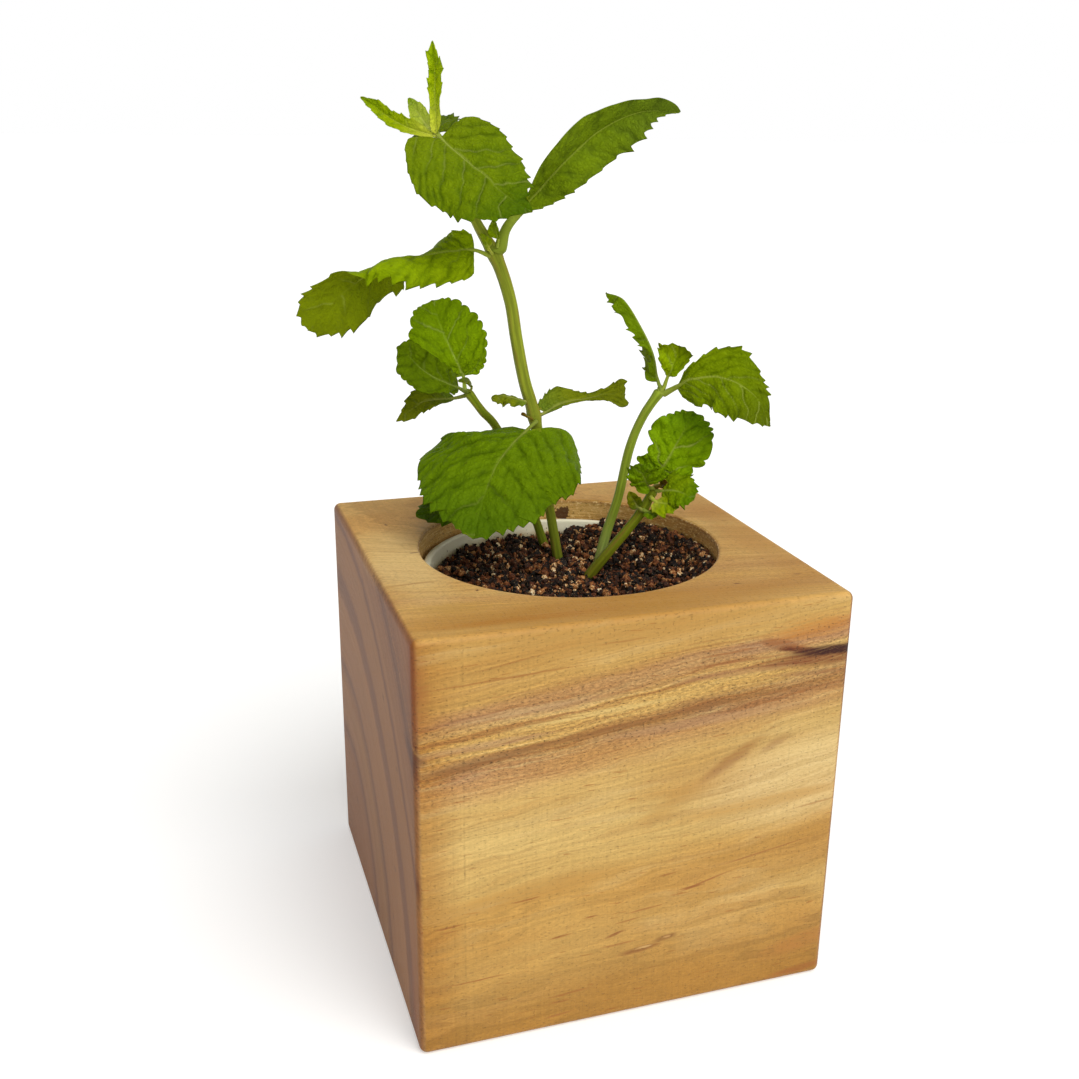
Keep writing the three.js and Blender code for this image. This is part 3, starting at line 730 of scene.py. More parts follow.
        # Fibres, strongest in the brown band, and short dashes.
        banded = (ring - self.band_ring).size().step(9.0, 3.0) * (1 - on_top * 0.8)
        fibres = g.noise(g.join(x * 0.012, ring * 1.2, 3.0), 1.0, 5.0, 0.7)
        dashes = g.noise(g.stretch(place, (0.14, 1.5, 1.5)), 1.0, 2.0, 0.6).step(0.64, 0.7)
        colour = g.mix(fibres.step(0.5, 0.64) * (banded * 0.5 + 0.14), colour, self.dark_fibre)
        colour = g.mix(fibres.step(0.46, 0.34) * banded * 0.4, colour, self.light_fibre)
        colour = g.shade(colour, (speckle.step(0.32, 0.68) - 0.5) * (banded * 0.5 + 0.2) + 1.0)
        colour = g.mix(dashes * 0.55 * (1 - on_top * 0.6), colour, self.dash)
        taking = (hairlines.step(0.3, 0.62) * 0.6 + 0.4) * (speckle.step(0.25, 0.6) * 0.5 + 0.5)
        colour = self.streaked(g, colour, place, taking, block.side, marks)

        # Dots, pores of the end grain and cuts of the saw.
        dots = g.noise(g.stretch(place, (1.2, 2.4, 2.4)), 1.0, 1.0).step(0.63, 0.7)
        colour = g.shade(colour, dots * (banded * 0.3 + 0.22) * -1.0 + 1.0)
        pores = g.noise(g.stretch(place, (0.3, 2.6, 2.6)), 1.0, 2.0).step(0.6, 0.72)
        colour = g.shade(colour, end_grain * pores * -0.22 + 1.0)
        broken = g.noise(g.join(x * 0.2, z * 0.35, y * 0.35), 1.0, 5.0, 0.75).step(0.4, 0.75)
        cuts: Wire | float = 0.0
        for at, width, strength in self.saw_cuts:
            cuts = (x - at).size().step(width, 0.0) * strength + cuts
        colour = g.shade(colour, cuts * broken * (1 - on_top * 0.6) * -0.65 + 1.0)
        # Each face gets its tint; the end grain's is partly painted shade.
        tint = g.mix(end_grain, g.mix(on_top, self.long_tint, self.top_tint), self.end_tint_with_shade)
        colour = g.mix(1.0, colour, tint, "MULTIPLY")

        wall, in_well, furrows = self.well(g, place, block)
        colour = g.mix(in_well * 0.95, colour, wall)
        knot = g.ball(place, self.knot_middle, (0, 0, 0), self.knot_reach)
        knotted = (knot + (g.noise(place, 0.9, 3.0, 0.7) - 0.5) * 1.5).step(0.3, 0.45)
        colour = g.mix(knotted * knot.step(0.0, 0.1) * 0.9, colour, self.knot)

        height = speckle * 0.5 + hairlines * 0.3 + saw * 0.4 + dots * -0.6 + in_well * furrows * 2.0
        rough = hairlines * -0.16 + 0.62
        normal = g.bump(height, 0.1)
        return g.finish(
            g.principled(Base_Color=colour, Roughness=rough, Normal=normal, Specular_IOR_Level=0.22)
        )


FRONT_MARKS = marks_on(
    Face.FRONT,
    # The brown band that rises to the right, and the mauve one above it.
    (-6, 31, 36, 25.4, 2.6, (134, 84, 42), 0.8), (20, 27.4, 62, 23.2, 2.0, (140, 90, 46), 0.75),
    (48, 24, 82, 21.2, 1.6, (146, 96, 50), 0.7), (74, 21.4, 106, 22.6, 1.8, (160, 106, 56), 0.7),
    (-4, 25.6, 34, 23.8, 2.6, (188, 146, 106), 0.6), (30, 27.4, 104, 25.0, 3.4, (186, 142, 98), 0.65),
    (-2, 19.2, 50, 17.0, 3.0, (176, 134, 96), 0.6), (45, 16.4, 104, 14.6, 2.6, (170, 124, 84), 0.65),
    (76, 17.6, 104, 18.6, 1.6, (150, 98, 58), 0.7), (14, 22.3, 64, 19.4, 1.8, (228, 192, 116), 0.8),
    (14, 21.6, 44, 20.6, 0.5, (158, 104, 48), 0.7),
    # Thin brown lines near the top.
    (-4, 11.2, 42, 9.0, 0.7, (160, 100, 46), 0.85), (8, 8.8, 31, 5.2, 0.6, (160, 100, 46), 0.85),
    (38, 5.2, 52, 4.8, 0.6, (160, 100, 46), 0.8), (56, 8.0, 76, 6.6, 0.5, (160, 100, 46), 0.7),
    (60, 11.4, 80, 10.2, 0.7, (156, 94, 44), 0.85), (54, 13.4, 90, 12.6, 1.0, (158, 98, 50), 0.8),
    (66, 14.6, 102, 15.6, 0.6, (140, 82, 42), 0.8), (4, 14.6, 40, 13.0, 0.5, (172, 118, 62), 0.6),
    # The dark knot streak at the right, with an orange bulge above it.
    (78, 8.4, 104, 6.4, 8.0, (196, 126, 48), 0.85), (77, 8.6, 91, 13.2, 3.4, (150, 84, 38), 0.95),
    (76, 14.8, 110, 14.6, 6.0, (132, 72, 34), 1.1), (80, 11.0, 94, 13.6, 2.2, (104, 48, 20), 1.1),
    (82, 12.9, 116, 13.4, 3.6, (62, 24, 14), 1.4),
    # Soft streaks and tones on the middle of the face.
    (50, 50, 82, 33, 7.5, (186, 132, 56), 0.55), (64, 42, 80, 32, 4.4, (152, 94, 34), 1.0),
    (79, 36.6, 86, 32.6, 3.0, (152, 100, 46), 0.8), (-6, 3, 106, 2, 14, (182, 128, 58), 0.5),
    (70, 46, 112, 42, 30, (238, 204, 142), 0.7), (-8, 66, 54, 59, 7.5, (192, 138, 62), 0.75),
    (56, 51, 106, 47.4, 4.6, (196, 142, 64), 0.75), (86, 52.6, 104, 50.6, 0.7, (160, 100, 48), 0.7),
    (68, 64.6, 98, 60.0, 0.6, (156, 92, 46), 0.8), (58, 70, 76, 65.4, 0.8, (156, 92, 46), 0.8),
    # Short reddish dashes and small knots on the lower part.
    (20, 64.2, 27.5, 63.8, 0.7, (150, 88, 40), 0.95), (3, 67.6, 11, 67.2, 0.6, (150, 88, 40), 0.95),
    (4, 68.8, 9, 68.6, 0.5, (160, 98, 46), 0.8), (55, 64.2, 60, 63.8, 0.7, (150, 88, 40), 0.9),
    (60, 68.8, 68, 68.2, 1.0, (150, 88, 40), 0.9), (37, 71.8, 41.5, 71.2, 0.8, (150, 88, 40), 0.9),
    (28.5, 75.6, 35.5, 74.8, 0.7, (150, 88, 40), 0.95), (47, 72.6, 58, 71.6, 0.8, (156, 94, 44), 0.85),
    (45, 74.6, 52, 74.0, 0.7, (156, 94, 44), 0.85), (42.5, 78.2, 48, 76.6, 1.1, (140, 80, 38), 0.95),
    (3, 82.8, 22, 82.2, 0.7, (156, 94, 44), 0.85), (40, 80.6, 52, 80.0, 0.9, (160, 98, 46), 0.8),
    (27, 91.4, 42, 90.4, 0.8, (156, 92, 42), 0.85), (29, 93.0, 36, 92.6, 0.6, (150, 86, 40), 0.9),
    (28, 96.6, 36, 96.0, 0.7, (160, 98, 46), 0.8), (45.5, 83.4, 57.5, 82.2, 2.2, (134, 80, 38), 0.9),
    (50.5, 82.6, 54.5, 82.3, 0.9, (206, 160, 96), 1.3), (54.5, 81.4, 61.5, 80.4, 2.0, (124, 72, 34), 0.95),
    (57, 80.9, 59.6, 80.7, 0.8, (200, 150, 88), 1.3), (82, 92, 106, 87, 7.0, (182, 118, 52), 0.8),
    (84, 98.5, 104, 96.5, 3.0, (158, 90, 38), 0.85),
)
LEFT_MARKS = marks_on(
    Face.LEFT,
    (94, 60, 96, 108, 9, (170, 110, 46), 0.6), (98, -4, 100, 22, 6, (150, 84, 40), 0.7),
    (92, 25, 102, 27, 6, (98, 62, 56), 0.8), (14, 50, 34, 51, 9, (156, 108, 52), 0.6),
    (66.5, 26.5, 67.8, 27.5, 1.1, (62, 38, 26), 0.9), (80.5, 37.5, 81.6, 38.6, 1.0, (62, 38, 26), 0.9),
    (74.5, 66.5, 75.6, 67.8, 1.1, (62, 38, 26), 0.9), (70.5, 82.5, 71.6, 83.6, 1.0, (62, 38, 26), 0.9),
    (21.5, 78.5, 22.6, 79.6, 1.1, (62, 38, 26), 0.9),
)
TOP_MARKS = marks_on(
    Face.TOP,
    (-10, 93, 110, 91, 20, (174, 120, 42), 0.9), (0, 94.5, 54, 93.5, 4.6, (180, 120, 48), 0.75),
    (94, 10, 95, 96, 16, (178, 126, 62), 0.5), (7, 34, 9, 74, 26, (232, 206, 152), 0.7),
    (40, 92, 104, 88, 5.0, (192, 140, 70), 0.5), (-2, 68, 16, 67, 1.6, (170, 122, 66), 0.7),
    (6, 84, 18, 84.5, 9, (188, 146, 72), 0.6), (80, 71.5, 98, 73.5, 1.4, (176, 126, 66), 0.6),
    (84, 87.5, 102, 88.6, 1.2, (176, 124, 64), 0.6), (11.2, 46.9, 13.4, 47.1, 0.8, (104, 62, 30), 1.3),
    (9.6, 24.6, 10.4, 22.8, 0.7, (104, 62, 30), 1.3), (20, 75.8, 20.8, 74.8, 0.8, (104, 62, 30), 1.3),
    (80.5, 72.9, 83.5, 73.1, 0.7, (120, 74, 36), 1.1), (88.5, 73.6, 91, 74.2, 0.8, (120, 74, 36), 1.1),
    (76.5, 87.3, 78, 87.6, 0.8, (110, 66, 34), 1.2), (92, 85.5, 94.5, 86, 0.7, (120, 74, 36), 1.1),
    (94, 44, 96, 44.4, 0.6, (130, 84, 44), 1.0), (65, 10.4, 66.4, 10.6, 0.9, (96, 54, 30), 1.2),
    (74, 6, 104, 7, 6.0, (186, 132, 88), 0.6),
)


@dataclass
class WoodBlock:
    """The square block with rounded edges and a round well."""

    side: float = 100.0
    edge_radius: float = 1.8
    well_radius: float = 36.5
    well_floor: float = 20.0
    mouth_chamfer: float = 0.5
    side_columns: int = 33
    corner_columns: int = 7
    rounding_rows: int = 7
    support: float = 0.06
    finish: WoodFinish = WoodFinish()

    def section(self, half: float, corner: float) -> Array:
        """A square with rounded corners, as a ring of points.

        Each side's points stand at even angles seen from the middle, and each corner is a quarter circle.

        Args:
            half: half the square's side.
            corner: radius of its corners.

        Returns:
            Points as rows of x and y.
        """
        inner = half - corner
        climb = inner * np.tan(np.linspace(-math.pi / 4, math.pi / 4, self.side_columns))
        turn = np.linspace(0, math.pi / 2, self.corner_columns)[1:-1]
        one_side = np.vstack(
            [
                np.stack([np.full_like(climb, half), climb], axis=1),
                np.stack([inner + corner * np.cos(turn), inner + corner * np.sin(turn)], axis=1),
            ]
        )
        quarter = np.array([[0, -1], [1, 0]])
        return np.vstack([one_side @ np.linalg.matrix_power(quarter, i).T for i in range(4)])

    def rings(self) -> Array:
        """The block's rings from the middle of its underside, up the outside and down into the well.

        Returns:
            Points as rings by points by three.
        """
        half, radius = self.side / 2, self.edge_radius
        flat = half - radius
        rings = []

        def square(size: float, corner: float, height: float) -> None:
            """Adds a square ring."""
            ring = self.section(size, corner)
            rings.append(np.column_stack([ring, np.full(len(ring), height)]))

        for share in (0.05, 0.5, 0.9):
            square(flat * share, 0, 0)
        square(flat - self.support, 0, 0)
        for angle in np.linspace(0, math.pi / 2, self.rounding_rows):
            reach = radius * math.sin(angle)
            square(flat + reach, reach, radius * (1 - math.cos(angle)))
        first, last = radius + self.support, self.side - radius - self.support
        for height in (first, *np.linspace(8, self.side - 8, 9), last):
            square(half, radius, height)
        for angle in np.linspace(math.pi / 2, 0, self.rounding_rows):
            reach = radius * math.sin(angle)
            square(flat + reach, reach, self.side - radius * (1 - math.cos(angle)))
        square(flat - self.support, 0, self.side)

        outline = self.section(flat, 0)
        angle = np.arctan2(outline[:, 1], outline[:, 0])
        round_outline = np.stack([np.cos(angle), np.sin(angle)], axis=1)
        mouth = self.well_radius + self.mouth_chamfer
        for share in (0.25, 0.5, 0.75, 0.97):
            blend = outline * (1 - share) + round_outline * mouth * share
            rings.append(np.column_stack([blend, np.full(len(blend), self.side)]))
        top, edge, floor, well = self.side, self.side - self.mouth_chamfer, self.well_floor, self.well_radius
        wall = [(mouth + 0.05, top), (mouth - 0.05, top - 0.04), (well + 0.05, edge + 0.04)]
        wall += [(well, edge - 0.06), (well, edge - 0.5)]
        wall += [(well, height) for height in (97, 94, 90, 70, 45, floor + 0.1)]
        wall += [(well - 0.1, floor), (well * 0.5, floor), (well * 0.05, floor)]
        for reach, height in wall:
            rings.append(np.column_stack([round_outline * reach, np.full(len(angle), height)]))
        return np.stack(rings)

    def build(self) -> None:
        """Builds and dresses the block."""
        material = self.finish.build(self, FRONT_MARKS + LEFT_MARKS + TOP_MARKS)
        block = make_piece("wood_block_fine", loft(self.rings()), material, ("wood_block",))
        merge_doubles(block)


# ---------------------------------------------------------------------------------------------
# The cup and the soil


@dataclass(frozen=True)
class CupFinish:
    """Off-white matt plastic, a little soiled where the soil touches it."""

    clean: Colour = (248, 242, 214)
    soiled: Colour = (204, 184, 134)
    speck: Colour = (104, 72, 50)

    def build(self, soil_level: float) -> bpy.types.Material:
        """Makes the material.

        Args:
            soil_level: height of the soil, in millimetres.

        Returns:
            The material.
        """
        g = Graph.of_material("cup_plastic")
        place = g.place()
        height = g.split(place)[2]
        patches = g.noise(place, 0.35, 3.0)
        stain = (height + patches * 2.4).step(soil_level + 3.2, soil_level + 0.9)
        specks = g.noise(place, 1.6, 2.0).step(0.66, 0.72) * height.step(soil_level + 4.5, soil_level + 1)
        colour = g.mix(stain * 0.75, self.clean, self.soiled)
        colour = g.mix(specks * 0.8, colour, self.speck)
        rough, normal = patches * 0.12 + 0.42, g.bump(g.noise(place, 3.0, 2.0), 0.02)
        return g.finish(
            g.principled(Base_Color=colour, Roughness=rough, Normal=normal, Specular_IOR_Level=0.4)
        )


@dataclass
class Cup:
    """The thin cup in the well, with a stepped lip."""

    rim_height: float = 95.0
    rim_radius: float = 35.6
    base_radius: float = 28.0
    wall: float = 1.2
    lip_height: float = 2.5
    lip_step: float = 0.6
    foot: float = 20.3
    segments: int = 160
    finish: CupFinish = CupFinish()

    def outer(self, height: float) -> float:
        """Outer radius of the plain wall, which leans out evenly from the foot to the rim."""
        share = (height - self.foot) / (self.rim_height - self.foot)
        return self.base_radius + (self.rim_radius - self.lip_step - self.base_radius) * share

    def inner(self, height: float) -> float:
        """Inner radius of the wall at a height."""
        return self.outer(height) - self.wall

    def profile(self) -> Array:
        """Radius and height pairs from under the foot, up the outside, round the lip and down inside.

        Returns:
            One row per point of the profile.
        """
        lip_foot = self.rim_height - self.lip_height
        floor = self.foot + self.wall
        bead = (self.rim_radius - self.inner(self.rim_height)) / 2
        middle = self.rim_radius - bead
        turn = np.linspace(0, math.pi, 13)
        lip = 0.55
        rolled = np.stack([middle + bead * np.cos(turn), self.rim_height - lip + lip * np.sin(turn)], 1)
        below = [
            (1.5, self.foot), (self.base_radius - 1.2, self.foot), (self.base_radius - 0.3, self.foot + 0.3),
            (self.base_radius, floor), (self.outer(60), 60), (self.outer(lip_foot), lip_foot),
            (self.rim_radius - 0.12, lip_foot + 0.45), (self.rim_radius, lip_foot + 0.7),
        ]
        inside = [(self.inner(height), height) for height in (self.rim_height - 1.0, 90, 60)]
        inside += [(self.inner(floor) + 0.2, floor + 0.4), (self.inner(floor) - 0.5, floor), (1.5, floor)]
        return np.vstack([below, rolled, inside])

    def build(self, soil_level: float) -> None:
        """Builds and dresses the cup."""
        rings = level_rings(*self.profile().T, self.segments)
        make_piece("liner_cup_fine", loft(rings), self.finish.build(soil_level), ("liner_cup",))


@dataclass(frozen=True)
class SoilFinish:
    """Bark granules from near black through brown to reddish and tan, each of one tone."""

    tones: Stops = (
        (0.0, (9, 4, 1)), (0.25, (22, 9, 3)), (0.42, (48, 23, 8)), (0.56, (84, 40, 14)),
        (0.7, (118, 64, 27)), (0.84, (168, 110, 56)), (0.94, (226, 188, 132)), (1.0, (252, 234, 194)),
    )
    glint: Colour = (232, 196, 136)

    def build(self, name: str, toned: bool) -> bpy.types.Material:
        """Makes the material.

        Args:
            name: the material's name.
            toned: whether the tone comes from the mesh; if not, it comes from noise.

        Returns:
            The material.
        """
        g = Graph.of_material(name)
        place = g.place()
        grain = g.noise(place, 2.0, 4.0, 0.75)
        # Without a tone from the mesh, the noise keeps to the darkest tones: the soil's own dark colour and
        # painted shade in the gaps.
        tone = g.attribute("tone") if toned else g.noise(place, 0.7, 3.0) * 0.2
        colour = (tone + (grain - 0.5) * 1.1).ramp(self.tones)
        glints = g.noise(place, 2.6, 2.0, 0.7).step(0.64, 0.7)
        colour = g.mix(glints * 0.6, colour, self.glint)
        normal = g.bump(g.noise(place, 3.5, 3.0, 0.7), 0.2)
        return g.finish(
            g.principled(Base_Color=colour, Roughness=0.7, Normal=normal, Specular_IOR_Level=0.3)
        )


@dataclass(frozen=True)
class Layer:
    """A layer of granules on the soil.

    Its spots stand spacing apart, shifted by up to a share jitter of it. Sizes and lifts above the soil are
    ranges in millimetres, and tones are the two powers of a beta distribution.
    """

    spacing: float
    jitter: float
    sizes: Pair
    lifts: Pair
    tones: Pair


@dataclass
class Soil:
    """Potting mix: a dark bumpy body, partly painted shade in its gaps, covered with loose granules of two
    sizes and some spilled ones.
    """

    cup: Cup
    stems: dict[str, Stem]
    level: float = 91.3
    heap: tuple[float, float, float, float] = (22.0, 20.0, 2.6, 15.0)
    bump: float = 0.45
    edge_gap: float = 0.4
    coarse: Layer = Layer(1.5, 0.45, (0.9, 2.1), (-0.9, 0.45), (1.6, 1.9))
    fine: Layer = Layer(1.3, 0.5, (0.4, 1.2), (-0.9, 0.5), (1.5, 1.7))
    spill_count: int = 1500
    spill_turn: Pair = (-48.0, 72.0)
    spill_reach: Pair = (31.0, 35.6)
    seed: int = 11
    finish: SoilFinish = SoilFinish()

    def height(self, x: Array, y: Array) -> Array:
        """Height of the soil: the level, a bell-shaped heap, and low waves across both directions.

        Args:
            x: places along X, in millimetres.
            y: places along Y, in millimetres.

        Returns:
            The heights, in millimetres.
        """
        middle_x, middle_y, rise, spread = self.heap
        away = np.hypot(x - middle_x, y - middle_y) / spread
        waves = np.sin(0.31 * x + 1) * np.cos(0.27 * y) + 0.5 * np.sin(0.63 * y + 0.4 * x)
        return self.level + rise * np.exp(-away * away) + self.bump * waves

    def body(self) -> Skin:
        """The dark body, partly painted shade in the gaps between granules: rings up the cup's inside and
        then inwards over the top, with noise for lumps.

        Returns:
            Its closed skin.
        """
        count = 180
        angle = circle(count)
        foot = self.cup.foot + self.cup.wall + 0.3
        edge = self.cup.inner(self.level) - self.edge_gap
        reach = [2.0, self.cup.inner(foot) - 1.5, self.cup.inner(foot) - 0.3, self.cup.inner(60) - 0.3, edge]
        rings = [level_rings(reach, [foot, foot, foot + 1.2, 60, self.level - 2.5], count)]
        for share in np.linspace(1, 0.01, 70):
            x, y = edge * share * np.cos(angle), edge * share * np.sin(angle)
            lumps = 0.35 * value_noise(x / 1.7 + 40, y / 1.7 + 40, 5)
            lumps = lumps + 0.2 * value_noise(x / 0.8, y / 0.8, 6)
            rings.append(np.stack([x, y, self.height(x, y) - 1.3 + lumps], 1)[None])
        return loft(np.concatenate(rings))

    def spots(self, spacing: float, jitter: float, rng: np.random.Generator) -> Array:
        """Points over the soil on a triangular grid, each shifted at random, clear of the stems.

        Args:
            spacing: distance between neighbours.
            jitter: most that a point is shifted, as a share of the spacing.
            rng: source of the random shifts.

        Returns:
            Rows of x and y.
        """
        reach = self.cup.inner(self.level)
        count = int(2 * reach / spacing) + 2
        column, row = np.meshgrid(np.arange(count), np.arange(int(count * 1.16) + 1))
        x = (column + 0.5 * (row % 2)) * spacing - reach
        y = row * spacing * 0.866 - reach
        spots = np.stack([x.ravel(), y.ravel()], 1)
        spots += rng.uniform(-jitter, jitter, spots.shape) * spacing
        spots = spots[np.hypot(spots[:, 0], spots[:, 1]) < reach - 0.6]
        for stem in self.stems.values():
            foot, radius = stem.at_height(self.level + 0.5)
            spots = spots[np.hypot(spots[:, 0] - foot[0], spots[:, 1] - foot[1]) > radius + 0.45]
        return spots

    @staticmethod
    def granule_shapes(count: int, rng: np.random.Generator) -> tuple[Array, Array]:
        """Rough granules: a cube's grid pushed onto a ball, each point then pulled in or out at random.

        Args:
            count: how many shapes.
            rng: source of the random pulls.

        Returns:
            Points as shapes by points by three, and the quads that all shapes share.
        """
        grid = np.array(list(product((-1, 0, 1), repeat=3)), float)
        grid = grid[np.abs(grid).max(1) == 1]
        number = {tuple(point): i for i, point in enumerate(grid.astype(int).tolist())}
        quads = []
        for axis, sign, a, b in product(range(3), (-1, 1), (-1, 0), (-1, 0)):
            corners = [(sign, a, b), (sign, a + 1, b), (sign, a + 1, b + 1), (sign, a, b + 1)][::sign]
            quads.append([number[tuple(np.roll(corner, axis).tolist())] for corner in corners])
        ball = grid / np.linalg.norm(grid, axis=1)[:, None]
        cubic = 0.7 * ball + 0.3 * grid / np.abs(grid).max(1)[:, None]
        pulls = rng.uniform(0.6, 1.25, (count, len(grid), 1))
        return cubic[None] * pulls, np.array(quads)

    def scatter(self, places: Array, sizes: Array, rng: np.random.Generator, tones: Array) -> Skin:
        """Puts a granule at each place, turned at random by a unit quaternion and squeezed along its axes.

        Args:
            places: centres in millimetres.
            sizes: diameters in millimetres.
            rng: source of the random turns.
            tones: a tone for each, from dark 0 to light 1.

        Returns:
            One skin of all granules.
        """
        shapes, quads = self.granule_shapes(24, rng)
        count = len(places)
        turn = rng.normal(size=(count, 4))
        w, x, y, z = (turn / np.linalg.norm(turn, axis=1)[:, None]).T
        spin = np.array(
            [
                [1 - 2 * (y * y + z * z), 2 * (x * y - z * w), 2 * (x * z + y * w)],
                [2 * (x * y + z * w), 1 - 2 * (x * x + z * z), 2 * (y * z - x * w)],
                [2 * (x * z - y * w), 2 * (y * z + x * w), 1 - 2 * (x * x + y * y)],
            ]
        )
        squeeze = ((0.8, 1.25), (0.7, 1.0), (0.55, 0.9))
        stretch = np.stack([rng.uniform(low, high, count) for low, high in squeeze], 1)
        local = shapes[rng.integers(0, len(shapes), count)] * (stretch * sizes[:, None] / 2)[:, None, :]
        points = np.einsum("ijn,nkj->nki", spin, local) + places[:, None, :]
        per = local.shape[1]
        faces = (quads[None] + (np.arange(count) * per)[:, None, None]).reshape(-1, 4)
        values = {"tone": np.repeat(tones, per)}
        return Skin(points.reshape(-1, 3), faces, np.zeros((0, 3), int), values).facing_out()

    def layer(self, layer: Layer, rng: np.random.Generator) -> Skin:
        """The granules of one layer, spread over the soil.

        Args:
            layer: how they are spaced, sized and toned.
            rng: source of the random draws.

        Returns:
            One skin of all granules.
        """
        spots = self.spots(layer.spacing, layer.jitter, rng)
        sizes = rng.uniform(*layer.sizes, len(spots))
        lifts = rng.uniform(*layer.lifts, len(spots))
        tones = rng.beta(*layer.tones, len(spots))
        return self.scatter(np.column_stack([spots, self.height(*spots.T) + lifts]), sizes, rng, tones)

    def spilled(self, rng: np.random.Generator) -> Skin:
        """Granules that climb the cup's wall at the right and lie on its rim, fewer towards both ends.

        Args:
            rng: source of the random places, sizes and tones.

        Returns:
            One skin of all spilled granules.
        """
        count, (first, last), (inner, outer) = self.spill_count, self.spill_turn, self.spill_reach
        degrees = rng.uniform(first, last, count)
        angle = np.radians(degrees)
        reach = rng.uniform(inner, outer, count)
        sizes = rng.uniform(0.7, 2.1, count)
        foot = self.height(inner * np.cos(angle), inner * np.sin(angle))
        climb = smooth((reach - inner) / 3.6)
        tapering = smooth((degrees - first) / 22) * smooth((60 - degrees) / 12)
        top = self.cup.rim_height + 0.2
        rise = foot + (top - foot) * climb * (0.25 + 0.75 * tapering)
        rise = np.where(reach > 33.6, np.maximum(rise, top), rise) + rng.uniform(-0.5, 0.5, count)
        places = np.column_stack([reach * np.cos(angle), reach * np.sin(angle), rise])
        kept = (reach < 33.4) | (rng.random(count) < tapering)
        tones = rng.beta(1.5, 1.8, count)
        return self.scatter(places[kept], sizes[kept], rng, tones[kept])

    def build(self) -> None:
        """Builds the body, the coarse granules, the fine ones and those spilled on the cup's rim."""
        # The body is near black, partly the soil's own colour and partly painted shade in the gaps between
        # granules.
        dark = self.finish.build("soil_body_and_gap_shade", False)
        make_piece("potting_mix_body", self.body(), dark, ("potting_mix",))
        finish = self.finish.build("soil_granules", True)
        rng = np.random.default_rng(self.seed)
        for name, layer in {"granules": self.coarse, "crumbs": self.fine}.items():
            make_piece(f"potting_mix_{name}", self.layer(layer, rng), finish, rounded=False)
        make_piece("potting_mix_spilled", self.spilled(rng), finish, rounded=False)


# ---------------------------------------------------------------------------------------------
# Stems


@dataclass(frozen=True)
class StemFinish:
    """Green stem tissue with brownish purple on its four edges, painted shade in the furrows between them
    and short dark dots.
    """

    name: str
    base: Colour
    edge: Colour
    low: Colour
    blush: float = 0.6
    dot: Colour = (70, 56, 26)
    shine: Colour = (236, 255, 150)

    def build(self) -> bpy.types.Material:
        """Makes the material.

        Returns:
            The material.
        """
        g = Graph.of_material(self.name)
        place = g.place()
        side_x, side_y, along = (g.attribute(name) for name in ("side_x", "side_y", "along"))
        round_it = g.join(side_x * 2.0, side_y * 2.0, along * 0.07)
        streaks = g.noise(round_it, 1.0, 3.0, 0.7)
        patches = g.noise(place, 0.12, 2.0)
        edge = g.attribute("edge").step(0.5, 0.95) * patches.step(0.35, 0.65) * self.blush
        colour = g.mix(g.attribute("foot"), self.base, self.low)
        colour = g.shade(colour, streaks.step(0.3, 0.7) * 0.4 + 0.74)
        # Painted shade in the furrows between the four edges.
        colour = g.shade(colour, g.attribute("edge").step(0.45, 0.1) * -0.2 + 1.0)
        colour = g.mix(edge, colour, self.edge)
        dots = g.noise(g.stretch(place, (2.8, 2.8, 1.3)), 1.0, 1.0).step(0.7, 0.76)
        colour = g.mix(dots * 0.6, colour, self.dot)
        shader = g.principled(
            Base_Color=colour,
            Roughness=0.5,
            Normal=g.bump(streaks + g.noise(place, 4.0, 2.0) * 0.4, 0.07),
            Specular_IOR_Level=0.2,
            Specular_Tint=linear(self.shine),
        )
        return g.finish(shader)


